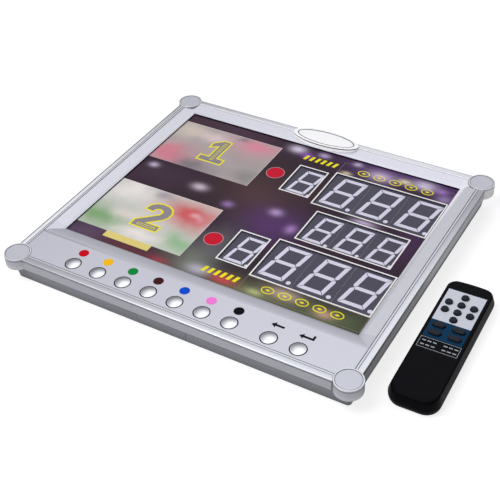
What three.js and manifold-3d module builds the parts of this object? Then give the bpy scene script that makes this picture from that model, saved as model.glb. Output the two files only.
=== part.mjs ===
// Electronic scoreboard with its remote control.
// Millimetres, +Z up. The scoreboard lies on its back with its top edge towards +Y.
// The origin is the middle of the rear tray's outer face.

import * as THREE from 'three';
import { mergeVertices } from 'three/addons/utils/BufferGeometryUtils.js';
import Module from 'manifold-3d';

const wasm = await Module();
wasm.setup();

// Clearances and the overrun of every cut
const seatGap = 0.3;
const cutOverrun = 1;

// Seven-segment display modules: a large size for the scores, a medium one for the rest
const largeModule = {
  width: 47.6, height: 70, digitWidth: 30.8, digitHeight: 58, digitShiftX: 0.5, digitShiftY: 0,
  segmentWidth: 5, segmentGap: 0.45, dotRadius: 2.8, dotClearance: 0.7,
  lip: { left: 0.3, right: 2.8, low: 3.1, high: 1.2 },
};
const mediumModule = {
  width: 38.6, height: 56, digitWidth: 25.4, digitHeight: 47, digitShiftX: 1.6, digitShiftY: -0.8,
  segmentWidth: 4.2, segmentGap: 0.4, dotRadius: 2.2, dotClearance: 0.5,
  lip: { left: 0.6, right: 1.9, low: 2.5, high: 0.6 },
};
const moduleDepth = 12;
const moduleSpacing = 0.3;
const segmentRelief = 0.3;
const segmentSlantDegrees = 9.6;
const scoreModules = 3;

// Layout behind the window, read from its right edge and from its top edge down
const pictureField = 180.2;
const framesGap = 8.4;
const framesRise = 0.7;
const breakInset = 13.5;
const topField = 33.3;
const scoreToBreak = 9;
const breakToScore = 7.3;
const bottomField = 27.6;

const scoreWidth = scoreModules * largeModule.width;
const breakWidth = scoreModules * mediumModule.width;
const windowWidth = pictureField + mediumModule.width + framesGap + scoreWidth;
const windowHeight = topField + largeModule.height + scoreToBreak + mediumModule.height
  + breakToScore + largeModule.height + bottomField;

// Bezel around the window, with the key strip below it
const bezelSide = 17.7;
const bezelTop = 18;
const bezelSlope = 15.3;
const keyStrip = 44.5;
const bezelThickness = 2.6;
const bezelDish = 2.8;
const bezelStep = 0.2;
const windowEdge = 1.4;
const windowFlange = 6;
const flangeFlare = 6;
const railGroove = 0.5;

// Corner posts and the rails between them
const postRadius = 15.4;
const postHeight = 15;
const postRise = 0.5;
const postEdge = 2.2;
const postRimWidth = 1.8;
const postRimDepth = 0.4;
const tenonReach = 12;
const railInside = 0.8;
const railOutside = 8.7;
const railHeight = 13.5;
const railWall = 1.6;
const railLip = 1.7;
const railUndercut = 0.8;
const railUndercutDrop = 2.4;
const railGrooveOffset = 1.7;
const railGrooveDepth = 0.7;
const railLedge = 2.4;
const railLedgeThickness = 1.5;

const bezelWidth = 2 * bezelSide + windowWidth;
const bezelHeight = bezelTop + windowHeight + bezelSlope + keyStrip;
const postPitchX = bezelWidth + 2 * (railInside + railGroove);
const postPitchY = bezelHeight + 2 * (railInside + railGroove);

// Rear tray
const trayHeight = 20;
const trayWall = 2.2;
const trayFlare = 2.2;
const trayInset = 3.2;
const trayCorner = 4;
const trayEdge = 1;
const cornerBlockRadius = 8;
const cornerBlockInset = 6;
const bossRadius = 3.5;
const bossColumns = 3;
const coverWidth = 62;
const coverShift = -11;
const coverLow = 4.5;
const coverHigh = 17;
const hangerSpacing = 240;
const hangerHeight = 100;
const hangerHeadRadius = 4.5;
const hangerSlotRadius = 2.5;
const hangerSlotLength = 10;

// Heights of the stack, from the rail's top face down
const railTopZ = trayHeight + seatGap + railHeight;
const railBottomZ = trayHeight + seatGap;
const postTopZ = railTopZ + postRise;
const postBottomZ = postTopZ - postHeight;
const bezelTopZ = railTopZ - bezelStep;
const bezelSeatZ = bezelTopZ - bezelThickness;
const windowEdgeZ = bezelTopZ - bezelDish;
const bezelLowZ = windowEdgeZ - windowEdge;
const sheetThickness = 1;
const sheetTopZ = bezelLowZ - seatGap;
const sheetLowZ = sheetTopZ - sheetThickness;
const sheetMargin = 5;
const moduleFaceZ = sheetLowZ - seatGap - segmentRelief;
const moduleBackZ = moduleFaceZ - moduleDepth;
const boardThickness = 1.6;
const boardTopZ = moduleBackZ - seatGap;
const boardLowZ = boardTopZ - boardThickness;
const boardMargin = 6;
const boardTail = 35.5;

// Keys on the strip
const keyCount = 7;
const keyPitch = 33.3;
const keyGroupGap = 45.7;
const keyRowShift = 3.2;
const keyRowInset = 12.2;
const keyRadius = 8.75;
const keyGap = 0.65;
const keyCrown = 1.4;
const keyRimRise = 0.1;
const keyRimRound = 0.8;
const keyFlange = 1.2;
const keyFlangeThickness = 1.5;
const keyStemRadius = 2.5;
const keyStemLength = 7;
const keyTravel = 1.2;
const switchWidth = 6;
const switchHeight = 3.5;
const plungerRadius = 1.75;
const plungerHeight = 1;
const keyBoardMargin = 6;

// Turn lights, receiver, power inlet and badge
const lightRadius = 10.25;
const lightGap = 0.35;
const lightOffset = 20.3;
const lightRise = 0.4;
const lightCrown = 0.4;
const lightFlange = 1.5;
const receiverWidth = 6;
const receiverDepth = 5;
const receiverHeight = 8;
const receiverInset = 8;
const inletLength = 13;
const inletWidth = 10;
const inletRise = 10;
const inletBoreRadius = 3.4;
const inletBoreDepth = 10;
const inletHoleRadius = 4.6;
const inletTopWall = 1.6;
const inletFromCorner = 70;
const badgeLength = 90;
const badgeWidth = 32;
const badgeRim = 6.2;
const badgeBase = 0.9;
const badgeRimHeight = 1.8;
const badgePlateThickness = 0.5;
const badgeInset = 1.3;

// Remote control
const remoteStandOff = 10.3;
const remoteCentreY = -69.7;
const remoteTurnDegrees = 1.4;
const remoteLength = 179.8;
const remoteWidth = 54.4;
const remoteTopZ = 19.3;
const remotePartingZ = 9;
const remoteWall = 1.8;
const remoteHeadCorner = 12;
const remoteHeadBow = 1.8;
const remoteTailCorner = 16.5;
const remoteDraft = 2.2;
const remoteEdge = 2.6;
const remoteTailSlope = 3;
const remoteSole = 3.4;
const remoteKeyRadius = 3.9;
const remoteKeyGap = 0.3;
const remoteKeyRise = 2.6;
const remoteKeyFlange = 0.9;
const remoteKeyFlangeThickness = 1;
const remoteKeyStemRadius = 2;
const remoteKeyTravel = 0.8;
const remoteKeyPitch = 12.1;
const remoteKeyColumn = 13.5;
const remoteKeyHead = 25.9;
const remotePillLength = 13.6;
const remotePillWidth = 7;
const remotePillPitch = 12.1;
const remotePillColumn = 10.6;
const remotePillHead = 75.1;
const remoteBoardThickness = 1.2;
const remoteBoardTopZ = 12;
const remoteBoardMargin = 3.5;
const batteryRadius = 5.25;
const batteryLength = 44.5;
const batteryTail = 12;
const batteryToBoard = 11.2;
const remoteBoardLength =
  remoteLength - remoteBoardMargin - remoteWall - batteryTail - batteryLength - batteryToBoard;
const batteryCoverWidth = 34;
const batteryCoverLength = 58;
const emitterRadius = 2.5;
const emitterLength = 8;
const emitterProud = 1;

// How finely round shapes are divided
const postSides = 24;
const keySides = 20;
const smallSides = 12;
const ellipseSides = 40;
const cornerSteps = 3;

// Shape helpers

// A closed solid from a three.js geometry, with its shared corners welded
function solidOf(geometry) {
  geometry.deleteAttribute('normal');
  geometry.deleteAttribute('uv');
  const welded = mergeVertices(geometry);
  const index = welded.index.array;
  const corners = [];
  for (let i = 0; i < index.length; i += 3) {
    const [a, b, c] = [index[i], index[i + 1], index[i + 2]];
    if (a !== b && b !== c && c !== a) corners.push(a, b, c);
  }
  const mesh = new wasm.Mesh({
    numProp: 3,
    vertProperties: welded.attributes.position.array,
    triVerts: new Uint32Array(corners),
  });
  return new wasm.Manifold(mesh);
}

// An outline of [x, y] points pushed up from one height to another
function prism(outline, lowZ, highZ) {
  const shape = new THREE.Shape(outline.map(([x, y]) => new THREE.Vector2(x, y)));
  const geometry = new THREE.ExtrudeGeometry(shape, { depth: highZ - lowZ, bevelEnabled: false });
  geometry.translate(0, 0, lowZ);
  return solidOf(geometry);
}

// A box between two corners
function block(leftX, rightX, lowY, highY, lowZ, highZ) {
  const geometry = new THREE.BoxGeometry(rightX - leftX, highY - lowY, highZ - lowZ);
  geometry.translate((leftX + rightX) / 2, (lowY + highY) / 2, (lowZ + highZ) / 2);
  return solidOf(geometry);
}

// A turned solid about the Z axis through (x, y), from [radius, z] points that go round upwards
function turned(profile, sides, x = 0, y = 0) {
  const points = profile.map(([radius, z]) => new THREE.Vector2(radius, z));
  const geometry = new THREE.LatheGeometry(points, sides);
  geometry.rotateX(Math.PI / 2);
  geometry.translate(x, y, 0);
  return solidOf(geometry);
}

function cylinder(radius, lowZ, highZ, sides, x = 0, y = 0) {
  return turned([[0, lowZ], [radius, lowZ], [radius, highZ], [0, highZ]], sides, x, y);
}

// A solid through rings with the same number of [x, y] points, each ring at its own height
function loft(rings) {
  const count = rings[0].outline.length;
  const positions = [];
  const index = [];
  for (const ring of rings) {
    for (const [x, y] of ring.outline) positions.push(x, y, ring.z);
  }
  for (let level = 0; level + 1 < rings.length; level += 1) {
    for (let i = 0; i < count; i += 1) {
      const here = level * count + i;
      const next = level * count + ((i + 1) % count);
      index.push(here, next, next + count);
      index.push(here, next + count, here + count);
    }
  }
  const top = (rings.length - 1) * count;
  const lowCap = rings[0].outline.map(([x, y]) => new THREE.Vector2(x, y));
  const highCap = rings[rings.length - 1].outline.map(([x, y]) => new THREE.Vector2(x, y));
  for (const [a, b, c] of THREE.ShapeUtils.triangulateShape(lowCap, [])) index.push(c, b, a);
  for (const [a, b, c] of THREE.ShapeUtils.triangulateShape(highCap, [])) {
    index.push(top + a, top + b, top + c);
  }
  const geometry = new THREE.BufferGeometry();
  geometry.setAttribute('position', new THREE.Float32BufferAttribute(positions, 3));
  geometry.setIndex(index);
  return solidOf(geometry);
}

function rectangle(leftX, rightX, lowY, highY) {
  return [[leftX, lowY], [rightX, lowY], [rightX, highY], [leftX, highY]];
}

// A rectangle with round corners, one radius for the low pair and one for the high pair
function roundRectangle(leftX, rightX, lowY, highY, lowRadius, highRadius, steps = cornerSteps) {
  const corners = [
    [leftX + lowRadius, lowY + lowRadius, lowRadius, Math.PI],
    [rightX - lowRadius, lowY + lowRadius, lowRadius, 1.5 * Math.PI],
    [rightX - highRadius, highY - highRadius, highRadius, 0],
    [leftX + highRadius, highY - highRadius, highRadius, 0.5 * Math.PI],
  ];
  const outline = [];
  for (const [x, y, radius, start] of corners) {
    for (let step = 0; step <= steps; step += 1) {
      const angle = start + (step / steps) * 0.5 * Math.PI;
      outline.push([x + radius * Math.cos(angle), y + radius * Math.sin(angle)]);
    }
  }
  return outline;
}

function ellipse(halfLength, halfWidth, x, y) {
  const outline = [];
  for (let side = 0; side < ellipseSides; side += 1) {
    const angle = (side / ellipseSides) * 2 * Math.PI;
    outline.push([x + halfLength * Math.cos(angle), y + halfWidth * Math.sin(angle)]);
  }
  return outline;
}

function joined(solids) {
  return solids.reduce((whole, solid) => whole.add(solid));
}

function cutBy(solid, cutters) {
  return solid.subtract(joined(cutters));
}

// Adds a solid to a group as a named mesh
function addPiece(group, name, solid, finish) {
  const mesh = solid.getMesh();
  const geometry = new THREE.BufferGeometry();
  geometry.setAttribute('position', new THREE.BufferAttribute(mesh.vertProperties, 3));
  geometry.setIndex(new THREE.BufferAttribute(mesh.triVerts, 1));
  geometry.computeVertexNormals();
  const piece = new THREE.Mesh(geometry, finish);
  piece.name = name;
  group.add(piece);
  return piece;
}

// Finishes
function paint(color, roughness, metalness) {
  return new THREE.MeshStandardMaterial({ color, roughness, metalness });
}

const finishes = {
  silverBezel: paint(0xc9ccd8, 0.45, 0.3),
  anodisedRail: paint(0xd2d4de, 0.35, 0.8),
  greyTray: paint(0x787a84, 0.5, 0.4),
  postGrey: paint(0xc4c7d2, 0.4, 0.3),
  print: paint(0x33212f, 0.15, 0),
  moduleFace: paint(0x4a4658, 0.35, 0),
  redLens: paint(0xd3202e, 0.3, 0),
  chrome: paint(0xdfe2ea, 0.15, 0.9),
  board: paint(0x1d5a33, 0.6, 0),
  blackPlastic: paint(0x15151a, 0.4, 0),
  darkKey: paint(0x2f3138, 0.7, 0),
  lensPurple: paint(0x241528, 0.1, 0),
  whiteBadge: paint(0xf4f5f8, 0.3, 0),
  cell: paint(0x3a6f9a, 0.3, 0.4),
};

// Places that several pieces share
const halfX = postPitchX / 2;
const halfY = postPitchY / 2;
const bezelRight = bezelWidth / 2;
const bezelUpper = bezelHeight / 2;
const windowRight = windowWidth / 2;
const windowUpper = bezelUpper - bezelTop;
const windowLower = windowUpper - windowHeight;
// Each post: its name, its sides of the middle, and its quarter turns from the first one
const posts = [
  ['front_left', -1, -1, 0],
  ['front_right', 1, -1, 1],
  ['back_right', 1, 1, 2],
  ['back_left', -1, 1, 3],
];

// Every display group: its left edge, its middle height, its module and how many modules
const scoreLeft = windowRight - scoreWidth;
const framesLeft = scoreLeft - framesGap - mediumModule.width;
const scoreUpperY = windowUpper - topField - largeModule.height / 2;
const breakY = scoreUpperY - largeModule.height / 2 - scoreToBreak - mediumModule.height / 2;
const scoreLowerY = breakY - mediumModule.height / 2 - breakToScore - largeModule.height / 2;
const displays = [
  { name: 'score_a', left: scoreLeft, y: scoreUpperY, kind: largeModule, count: scoreModules },
  { name: 'score_b', left: scoreLeft, y: scoreLowerY, kind: largeModule, count: scoreModules },
  {
    name: 'break', left: windowRight - breakInset - breakWidth, y: breakY,
    kind: mediumModule, count: scoreModules,
  },
  { name: 'frames_a', left: framesLeft, y: scoreUpperY + framesRise, kind: mediumModule, count: 1 },
  { name: 'frames_b', left: framesLeft, y: scoreLowerY + framesRise, kind: mediumModule, count: 1 },
];
const lights = [
  ['turn_light_a', framesLeft - lightOffset, scoreUpperY + framesRise + lightRise],
  ['turn_light_b', framesLeft - lightOffset, scoreLowerY + framesRise + lightRise],
];

// Key places along the strip
const keyNames = ['red', 'yellow', 'green', 'brown', 'blue', 'pink', 'black', 'back', 'confirm'];
const keyRowY = -bezelUpper + keyRowInset;
const keyRowLength = (keyNames.length - 2) * keyPitch + keyGroupGap;
const keyPlaces = keyNames.map((name, i) => {
  const beforeGap = Math.min(i, keyCount - 1) * keyPitch;
  const afterGap = i < keyCount ? 0 : keyGroupGap + (i - keyCount) * keyPitch;
  return { name, x: keyRowShift - keyRowLength / 2 + beforeGap + afterGap };
});

// The tray's outer and inner half sizes at a height: its walls lean outwards
function trayHalf(z, inset) {
  const share = (z - trayEdge) / (trayHeight - trayEdge);
  const lean = trayFlare * (share - 1) - inset;
  return { x: halfX + railOutside - trayInset + lean, y: halfY + railOutside - trayInset + lean };
}

function trayRing(z, inset, shapeZ = z) {
  const half = trayHalf(shapeZ, inset);
  const radius = Math.max(trayCorner - inset, trayWall / 2);
  return { z, outline: roundRectangle(-half.x, half.x, -half.y, half.y, radius, radius) };
}

// Two rows of bosses on the tray's floor, along the long edges of a board
function bossesUnder({ left, right, low, high }, topZ) {
  const bosses = [];
  for (let column = 0; column < bossColumns; column += 1) {
    const x = THREE.MathUtils.lerp(left + bossRadius, right - bossRadius, column / (bossColumns - 1));
    for (const y of [low + bossRadius, high - bossRadius]) {
      bosses.push(cylinder(bossRadius, trayWall / 2, topZ, smallSides, x, y));
    }
  }
  return bosses;
}

// Boards that the tray carries
const board = {
  left: framesLeft - boardTail,
  right: windowRight,
  low: scoreLowerY - largeModule.height / 2 - boardMargin,
  high: scoreUpperY + largeModule.height / 2 + boardMargin,
};
const keyStemLowZ = bezelSeatZ - seatGap - keyFlangeThickness - keyStemLength;
const plungerTopZ = keyStemLowZ - keyTravel - seatGap;
const keyBoardTopZ = plungerTopZ - plungerHeight - switchHeight;
const keyBoard = {
  left: keyPlaces[0].x - switchWidth / 2 - keyBoardMargin,
  right: keyPlaces[keyPlaces.length - 1].x + switchWidth / 2 + keyBoardMargin,
  low: keyRowY - switchWidth / 2 - keyBoardMargin,
  high: keyRowY + switchWidth / 2 + keyBoardMargin,
};
const inletY = -halfY + inletFromCorner;

// Rear tray: a moulded box that is open to the front
function trayShell() {
  const outer = loft([trayRing(0, trayEdge, trayEdge), trayRing(trayEdge, 0), trayRing(trayHeight, 0)]);
  const inner = loft([trayRing(trayWall, trayWall), trayRing(trayHeight + cutOverrun, trayWall)]);
  return outer.subtract(inner);
}

function coverOpening(gap) {
  const left = coverShift - coverWidth / 2 + gap;
  const right = coverShift + coverWidth / 2 - gap;
  const outside = -trayHalf(trayHeight, 0).y - cutOverrun;
  const inside = -trayHalf(0, trayWall).y + trayWall;
  return block(left, right, outside, inside, coverLow + gap, coverHigh - gap);
}

function keyhole(x) {
  const lowZ = -cutOverrun;
  const highZ = trayWall + cutOverrun;
  const slotY = hangerHeight + hangerSlotLength;
  return joined([
    cylinder(hangerHeadRadius, lowZ, highZ, smallSides, x, hangerHeight),
    block(x - hangerSlotRadius, x + hangerSlotRadius, hangerHeight, slotY, lowZ, highZ),
    cylinder(hangerSlotRadius, lowZ, highZ, smallSides, x, slotY),
  ]);
}

function inletHole() {
  const reach = trayHalf(trayHeight, 0).x + cutOverrun;
  const depth = reach - trayHalf(0, trayWall).x + cutOverrun;
  const hole = new THREE.CylinderGeometry(inletHoleRadius, inletHoleRadius, depth, smallSides);
  hole.rotateZ(Math.PI / 2);
  hole.translate(-reach + depth / 2, inletY, inletRise);
  return solidOf(hole);
}

function rearTray() {
  const blockTopZ = postBottomZ - seatGap;
  const blocks = posts.map(([, sideX, sideY]) => cylinder(
    cornerBlockRadius, trayWall / 2, blockTopZ, postSides,
    sideX * (halfX - cornerBlockInset), sideY * (halfY - cornerBlockInset),
  ));
  const displayBosses = bossesUnder(board, boardLowZ - seatGap);
  const keyBosses = bossesUnder(keyBoard, keyBoardTopZ - boardThickness - seatGap);
  const body = joined([trayShell(), ...blocks, ...displayBosses, ...keyBosses]);
  const postCuts = posts.map(([, sideX, sideY]) => cylinder(
    postRadius + seatGap, blockTopZ, trayHeight + cutOverrun, postSides, sideX * halfX, sideY * halfY,
  ));
  const keyholes = [-hangerSpacing / 2, hangerSpacing / 2].map(keyhole);
  return cutBy(body, [...postCuts, ...keyholes, coverOpening(0), inletHole()]);
}

function serviceCover() {
  return trayShell().intersect(coverOpening(seatGap));
}

// Rail: a hollow aluminium section with a ledge for the bezel, its ends hollowed round the posts
function rail(length, offset) {
  const lipCentreZ = railTopZ - railLip;
  const undercutZ = railTopZ - railUndercutDrop;
  const groove = railGrooveDepth / 2;
  const ledgeTopZ = bezelSeatZ - seatGap;
  const lip = Array.from({ length: cornerSteps + 1 }, (_, step) => {
    const angle = (step / cornerSteps) * 0.5 * Math.PI;
    return [railOutside - railLip + railLip * Math.cos(angle), lipCentreZ + railLip * Math.sin(angle)];
  });
  const section = [
    [-railInside, railBottomZ],
    [railOutside, railBottomZ],
    [railOutside, undercutZ - railUndercut],
    [railOutside - railUndercut, undercutZ - railUndercut],
    [railOutside - railUndercut, undercutZ],
    [railOutside, undercutZ],
    ...lip,
    [railGrooveOffset + groove, railTopZ],
    [railGrooveOffset, railTopZ - railGrooveDepth],
    [railGrooveOffset - groove, railTopZ],
    [-railInside + groove, railTopZ],
    [-railInside, railTopZ - groove],
    [-railInside, ledgeTopZ],
    [-railInside - railLedge, ledgeTopZ],
    [-railInside - railLedge, ledgeTopZ - railLedgeThickness],
    [-railInside, ledgeTopZ - railLedgeThickness],
  ];
  const hollow = rectangle(
    -railInside + railWall, railOutside - railWall, railBottomZ + railWall, railTopZ - railWall,
  );
  const bar = prism(section, -length / 2, length / 2);
  const core = prism(hollow, -length / 2 - cutOverrun, length / 2 + cutOverrun);
  // The section's first axis turns outwards, to -Y, and its second one up
  const upright = bar.subtract(core).rotate([90, 0, 0]).rotate([0, 0, -90]);
  const placed = upright.translate([0, -offset, 0]);
  const ends = [-1, 1].map((side) => cylinder(
    postRadius + seatGap, railBottomZ - cutOverrun, railTopZ + cutOverrun, postSides,
    side * length / 2, -offset,
  ));
  return cutBy(placed, ends);
}

// Corner post: a turned cap with a tenon into each of its two rails
function cornerPost() {
  const rimRadius = postRadius - postRimWidth;
  const profile = [
    [0, postBottomZ],
    [postRadius - postEdge, postBottomZ],
    [postRadius - postEdge / 3, postBottomZ + postEdge / 3],
    [postRadius, postBottomZ + postEdge],
    [postRadius, postTopZ - postRimDepth],
    [postRadius - postRimDepth, postTopZ],
    [rimRadius, postTopZ],
    [rimRadius, postTopZ - postRimDepth],
    [0, postTopZ - postRimDepth],
  ];
  const near = -railInside + railWall + seatGap;
  const far = railOutside - railWall - seatGap;
  const reach = postRadius + tenonReach;
  const lowZ = railBottomZ + railWall + seatGap;
  const highZ = railTopZ - railWall - seatGap;
  return joined([
    turned(profile, postSides),
    block(0, reach, -far, -near, lowZ, highZ),
    block(-far, -near, 0, reach, lowZ, highZ),
  ]);
}

// Bezel: a dished frame round the window with the flat key strip below it
function bezelPanel() {
  const bezelLeft = -bezelRight;
  const stripY = -bezelUpper + keyStrip;
  const skin = prism(rectangle(bezelLeft, bezelRight, -bezelUpper, bezelUpper), bezelSeatZ, bezelTopZ);
  const grown = (margin) => rectangle(
    -windowRight - margin, windowRight + margin, windowLower - margin, windowUpper + margin,
  );
  const flange = loft([
    { z: bezelLowZ, outline: grown(windowFlange) },
    { z: bezelSeatZ + cutOverrun / 2, outline: grown(windowFlange + flangeFlare) },
  ]);
  // Shares of the way from the bezel's edge to the window, and of the dish's depth there
  const dishShares = [[1, 1], [0.3, 0.2], [0.12, 0.05], [0, 0]];
  const dishRings = dishShares.map(([wayShare, dropShare]) => ({
    z: bezelTopZ - dropShare * bezelDish,
    outline: rectangle(
      THREE.MathUtils.lerp(bezelLeft, -windowRight, wayShare),
      THREE.MathUtils.lerp(bezelRight, windowRight, wayShare),
      THREE.MathUtils.lerp(stripY, windowLower, wayShare),
      THREE.MathUtils.lerp(bezelUpper, windowUpper, wayShare),
    ),
  }));
  const dish = loft([...dishRings, { z: bezelTopZ + cutOverrun, outline: dishRings[3].outline }]);
  const opening = prism(grown(0), bezelLowZ - cutOverrun, bezelTopZ + cutOverrun);
  const corners = posts.map(([, sideX, sideY]) => cylinder(
    postRadius + seatGap, bezelLowZ - cutOverrun, bezelTopZ + cutOverrun, postSides,
    sideX * halfX, sideY * halfY,
  ));
  const keyHoles = keyPlaces.map(({ x }) => cylinder(
    keyRadius + keyGap, bezelSeatZ - cutOverrun, bezelTopZ + cutOverrun, keySides, x, keyRowY,
  ));
  return cutBy(skin.add(flange), [dish, opening, ...corners, ...keyHoles]);
}

// Printed sheet under the bezel, with a window over each display and a hole for each light
function printSheet() {
  const sheet = prism(rectangle(
    -windowRight - sheetMargin, windowRight + sheetMargin,
    windowLower - sheetMargin, windowUpper + sheetMargin,
  ), sheetLowZ, sheetTopZ);
  const windows = displays.map(({ left, y, kind, count }) => prism(rectangle(
    left + kind.lip.left, left + count * kind.width - kind.lip.right,
    y - kind.height / 2 + kind.lip.low, y + kind.height / 2 - kind.lip.high,
  ), sheetLowZ - cutOverrun, sheetTopZ + cutOverrun));
  const holes = lights.map(([, x, y]) => cylinder(
    lightRadius + lightGap, sheetLowZ - cutOverrun, sheetTopZ + cutOverrun, postSides, x, y,
  ));
  return cutBy(sheet, [...windows, ...holes]);
}

// Outlines of the seven segments about the digit's middle, upright
function segmentOutlines(kind) {
  const halfWidth = (kind.digitWidth - kind.segmentWidth) / 2;
  const halfHeight = (kind.digitHeight - kind.segmentWidth) / 2;
  const thick = kind.segmentWidth / 2;
  const gap = kind.segmentGap;
  const level = (y) => [
    [-halfWidth + gap, y], [-halfWidth + gap + thick, y - thick], [halfWidth - gap - thick, y - thick],
    [halfWidth - gap, y], [halfWidth - gap - thick, y + thick], [-halfWidth + gap + thick, y + thick],
  ];
  const upright = (x, lowY) => [
    [x, lowY + gap], [x + thick, lowY + gap + thick], [x + thick, lowY + halfHeight - gap - thick],
    [x, lowY + halfHeight - gap], [x - thick, lowY + halfHeight - gap - thick],
    [x - thick, lowY + gap + thick],
  ];
  return [
    level(-halfHeight), level(0), level(halfHeight),
    upright(-halfWidth, -halfHeight), upright(-halfWidth, 0),
    upright(halfWidth, -halfHeight), upright(halfWidth, 0),
  ];
}

// One display module: an encapsulated block with its segments and point standing on the face
function displayModule(kind, centreX, centreY) {
  const slant = Math.tan(THREE.MathUtils.degToRad(segmentSlantDegrees));
  const digitX = centreX + kind.digitShiftX;
  const digitY = centreY + kind.digitShiftY;
  const bury = segmentRelief;
  const topZ = moduleFaceZ + segmentRelief;
  const segments = segmentOutlines(kind).map((outline) => prism(
    outline.map(([x, y]) => [digitX + x + slant * y, digitY + y]), moduleFaceZ - bury, topZ,
  ));
  const dotY = digitY - kind.digitHeight / 2 + kind.dotRadius;
  const dotX = digitX + kind.digitWidth / 2 - slant * kind.digitHeight / 2
    + kind.dotRadius + kind.dotClearance;
  const halfWidth = (kind.width - moduleSpacing) / 2;
  const dot = cylinder(kind.dotRadius, moduleFaceZ - bury, topZ, smallSides, dotX, dotY);
  const body = block(
    centreX - halfWidth, centreX + halfWidth,
    centreY - kind.height / 2, centreY + kind.height / 2, moduleBackZ, moduleFaceZ,
  );
  return joined([body, ...segments, dot]);
}

// Turn light: a red diffuser with a stem down to the board and a flange below the sheet
function turnLight(x, y) {
  const flangeTopZ = sheetLowZ - seatGap;
  return turned([
    [0, boardTopZ + seatGap],
    [lightRadius, boardTopZ + seatGap],
    [lightRadius, flangeTopZ - lightFlange],
    [lightRadius + lightFlange, flangeTopZ - lightFlange],
    [lightRadius + lightFlange, flangeTopZ],
    [lightRadius, flangeTopZ],
    [lightRadius, sheetTopZ],
    [lightRadius - lightCrown, sheetTopZ + lightCrown / 2],
    [0, sheetTopZ + lightCrown],
  ], postSides, x, y);
}

// Key cap: a domed cap held under the bezel by its flange, with a stem down to its switch
function keyCap(x) {
  const flangeTopZ = bezelSeatZ - seatGap;
  const flangeLowZ = flangeTopZ - keyFlangeThickness;
  const rimZ = bezelTopZ + keyRimRise;
  return turned([
    [0, keyStemLowZ],
    [keyStemRadius, keyStemLowZ],
    [keyStemRadius, flangeLowZ],
    [keyRadius + keyFlange, flangeLowZ],
    [keyRadius + keyFlange, flangeTopZ],
    [keyRadius, flangeTopZ],
    [keyRadius, rimZ - keyRimRound],
    [keyRadius - keyRimRound, rimZ],
    [keyRadius / 2, rimZ + 0.75 * keyCrown],
    [0, rimZ + keyCrown],
  ], keySides, x, keyRowY);
}

// Circuit board behind the displays
function displayBoard() {
  return block(board.left, board.right, board.low, board.high, boardLowZ, boardTopZ);
}

// Circuit board below the strip, with a tact switch under each key
function switchBoard() {
  const plate = block(
    keyBoard.left, keyBoard.right, keyBoard.low, keyBoard.high,
    keyBoardTopZ - boardThickness, keyBoardTopZ,
  );
  const halfSwitch = switchWidth / 2;
  const bury = boardThickness / 2;
  const switches = keyPlaces.flatMap(({ x }) => [
    block(
      x - halfSwitch, x + halfSwitch, keyRowY - halfSwitch, keyRowY + halfSwitch,
      keyBoardTopZ - bury, keyBoardTopZ + switchHeight,
    ),
    cylinder(plungerRadius, keyBoardTopZ + bury, plungerTopZ, smallSides, x, keyRowY),
  ]);
  return joined([plate, ...switches]);
}

// Infrared receiver that stands on the board below the picture
function receiver() {
  const x = board.left + receiverInset;
  const y = board.low + receiverInset;
  const lowZ = boardTopZ + seatGap;
  return block(
    x - receiverWidth / 2, x + receiverWidth / 2, y - receiverDepth / 2, y + receiverDepth / 2,
    lowZ, lowZ + receiverHeight,
  );
}

// Power inlet: a barrel socket behind the hole in the tray's left wall
function powerInlet() {
  const lowZ = trayWall + seatGap;
  const faceX = -trayHalf(lowZ, trayWall).x + seatGap;
  const highZ = inletRise + inletBoreRadius + inletTopWall;
  const body = block(
    faceX, faceX + inletLength, inletY - inletWidth / 2, inletY + inletWidth / 2, lowZ, highZ,
  );
  const depth = inletBoreDepth + cutOverrun;
  const bore = new THREE.CylinderGeometry(inletBoreRadius, inletBoreRadius, depth, smallSides);
  bore.rotateZ(Math.PI / 2);
  bore.translate(faceX + inletBoreDepth - depth / 2, inletY, inletRise);
  return body.subtract(solidOf(bore));
}

// Badge: an oval dish across the back rail, with a blank oval plate in it
const badgeY = halfY - badgeInset;
const badgeLowZ = railTopZ + seatGap;

function badgeDish() {
  const halfLength = badgeLength / 2;
  const halfWidth = badgeWidth / 2;
  const innerWidth = halfWidth - badgeRim / 2;
  const dish = prism(ellipse(halfLength, halfWidth, 0, badgeY), badgeLowZ, badgeLowZ + badgeRimHeight);
  const recess = prism(
    ellipse(halfLength - badgeRim, innerWidth, 0, badgeY),
    badgeLowZ + badgeBase, badgeLowZ + badgeRimHeight + cutOverrun,
  );
  return dish.subtract(recess);
}

function badgePlate() {
  const halfLength = badgeLength / 2 - badgeRim - seatGap;
  const halfWidth = badgeWidth / 2 - badgeRim / 2 - seatGap;
  const lowZ = badgeLowZ + badgeBase + seatGap / 2;
  return prism(ellipse(halfLength, halfWidth, 0, badgeY), lowZ, lowZ + badgePlateThickness);
}

// Remote control, in its own frame: its middle is on the floor and its head points to +Y

// The case's outline, drawn in all round and further at the tail. The head end is bowed outwards.
const headEdgeShares = [0.5, 0, -0.5];
function remoteRing(z, inset, tailInset = inset) {
  const half = remoteWidth / 2 - inset;
  const low = -remoteLength / 2 + tailInset;
  const high = remoteLength / 2 - inset;
  const lowRadius = remoteTailCorner - inset;
  const highRadius = remoteHeadCorner - inset;
  const square = roundRectangle(-half, half, low, high, lowRadius, highRadius, cornerSteps + 1);
  const headEdge = headEdgeShares.map((share) => [share * (half - highRadius), high]);
  square.splice((3 * square.length) / 4, 0, ...headEdge);
  const outline = square.map(([x, y]) => [x, y > 0 ? y + remoteHeadBow * (1 - (x / half) ** 2) : y]);
  return { z, outline };
}

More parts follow.
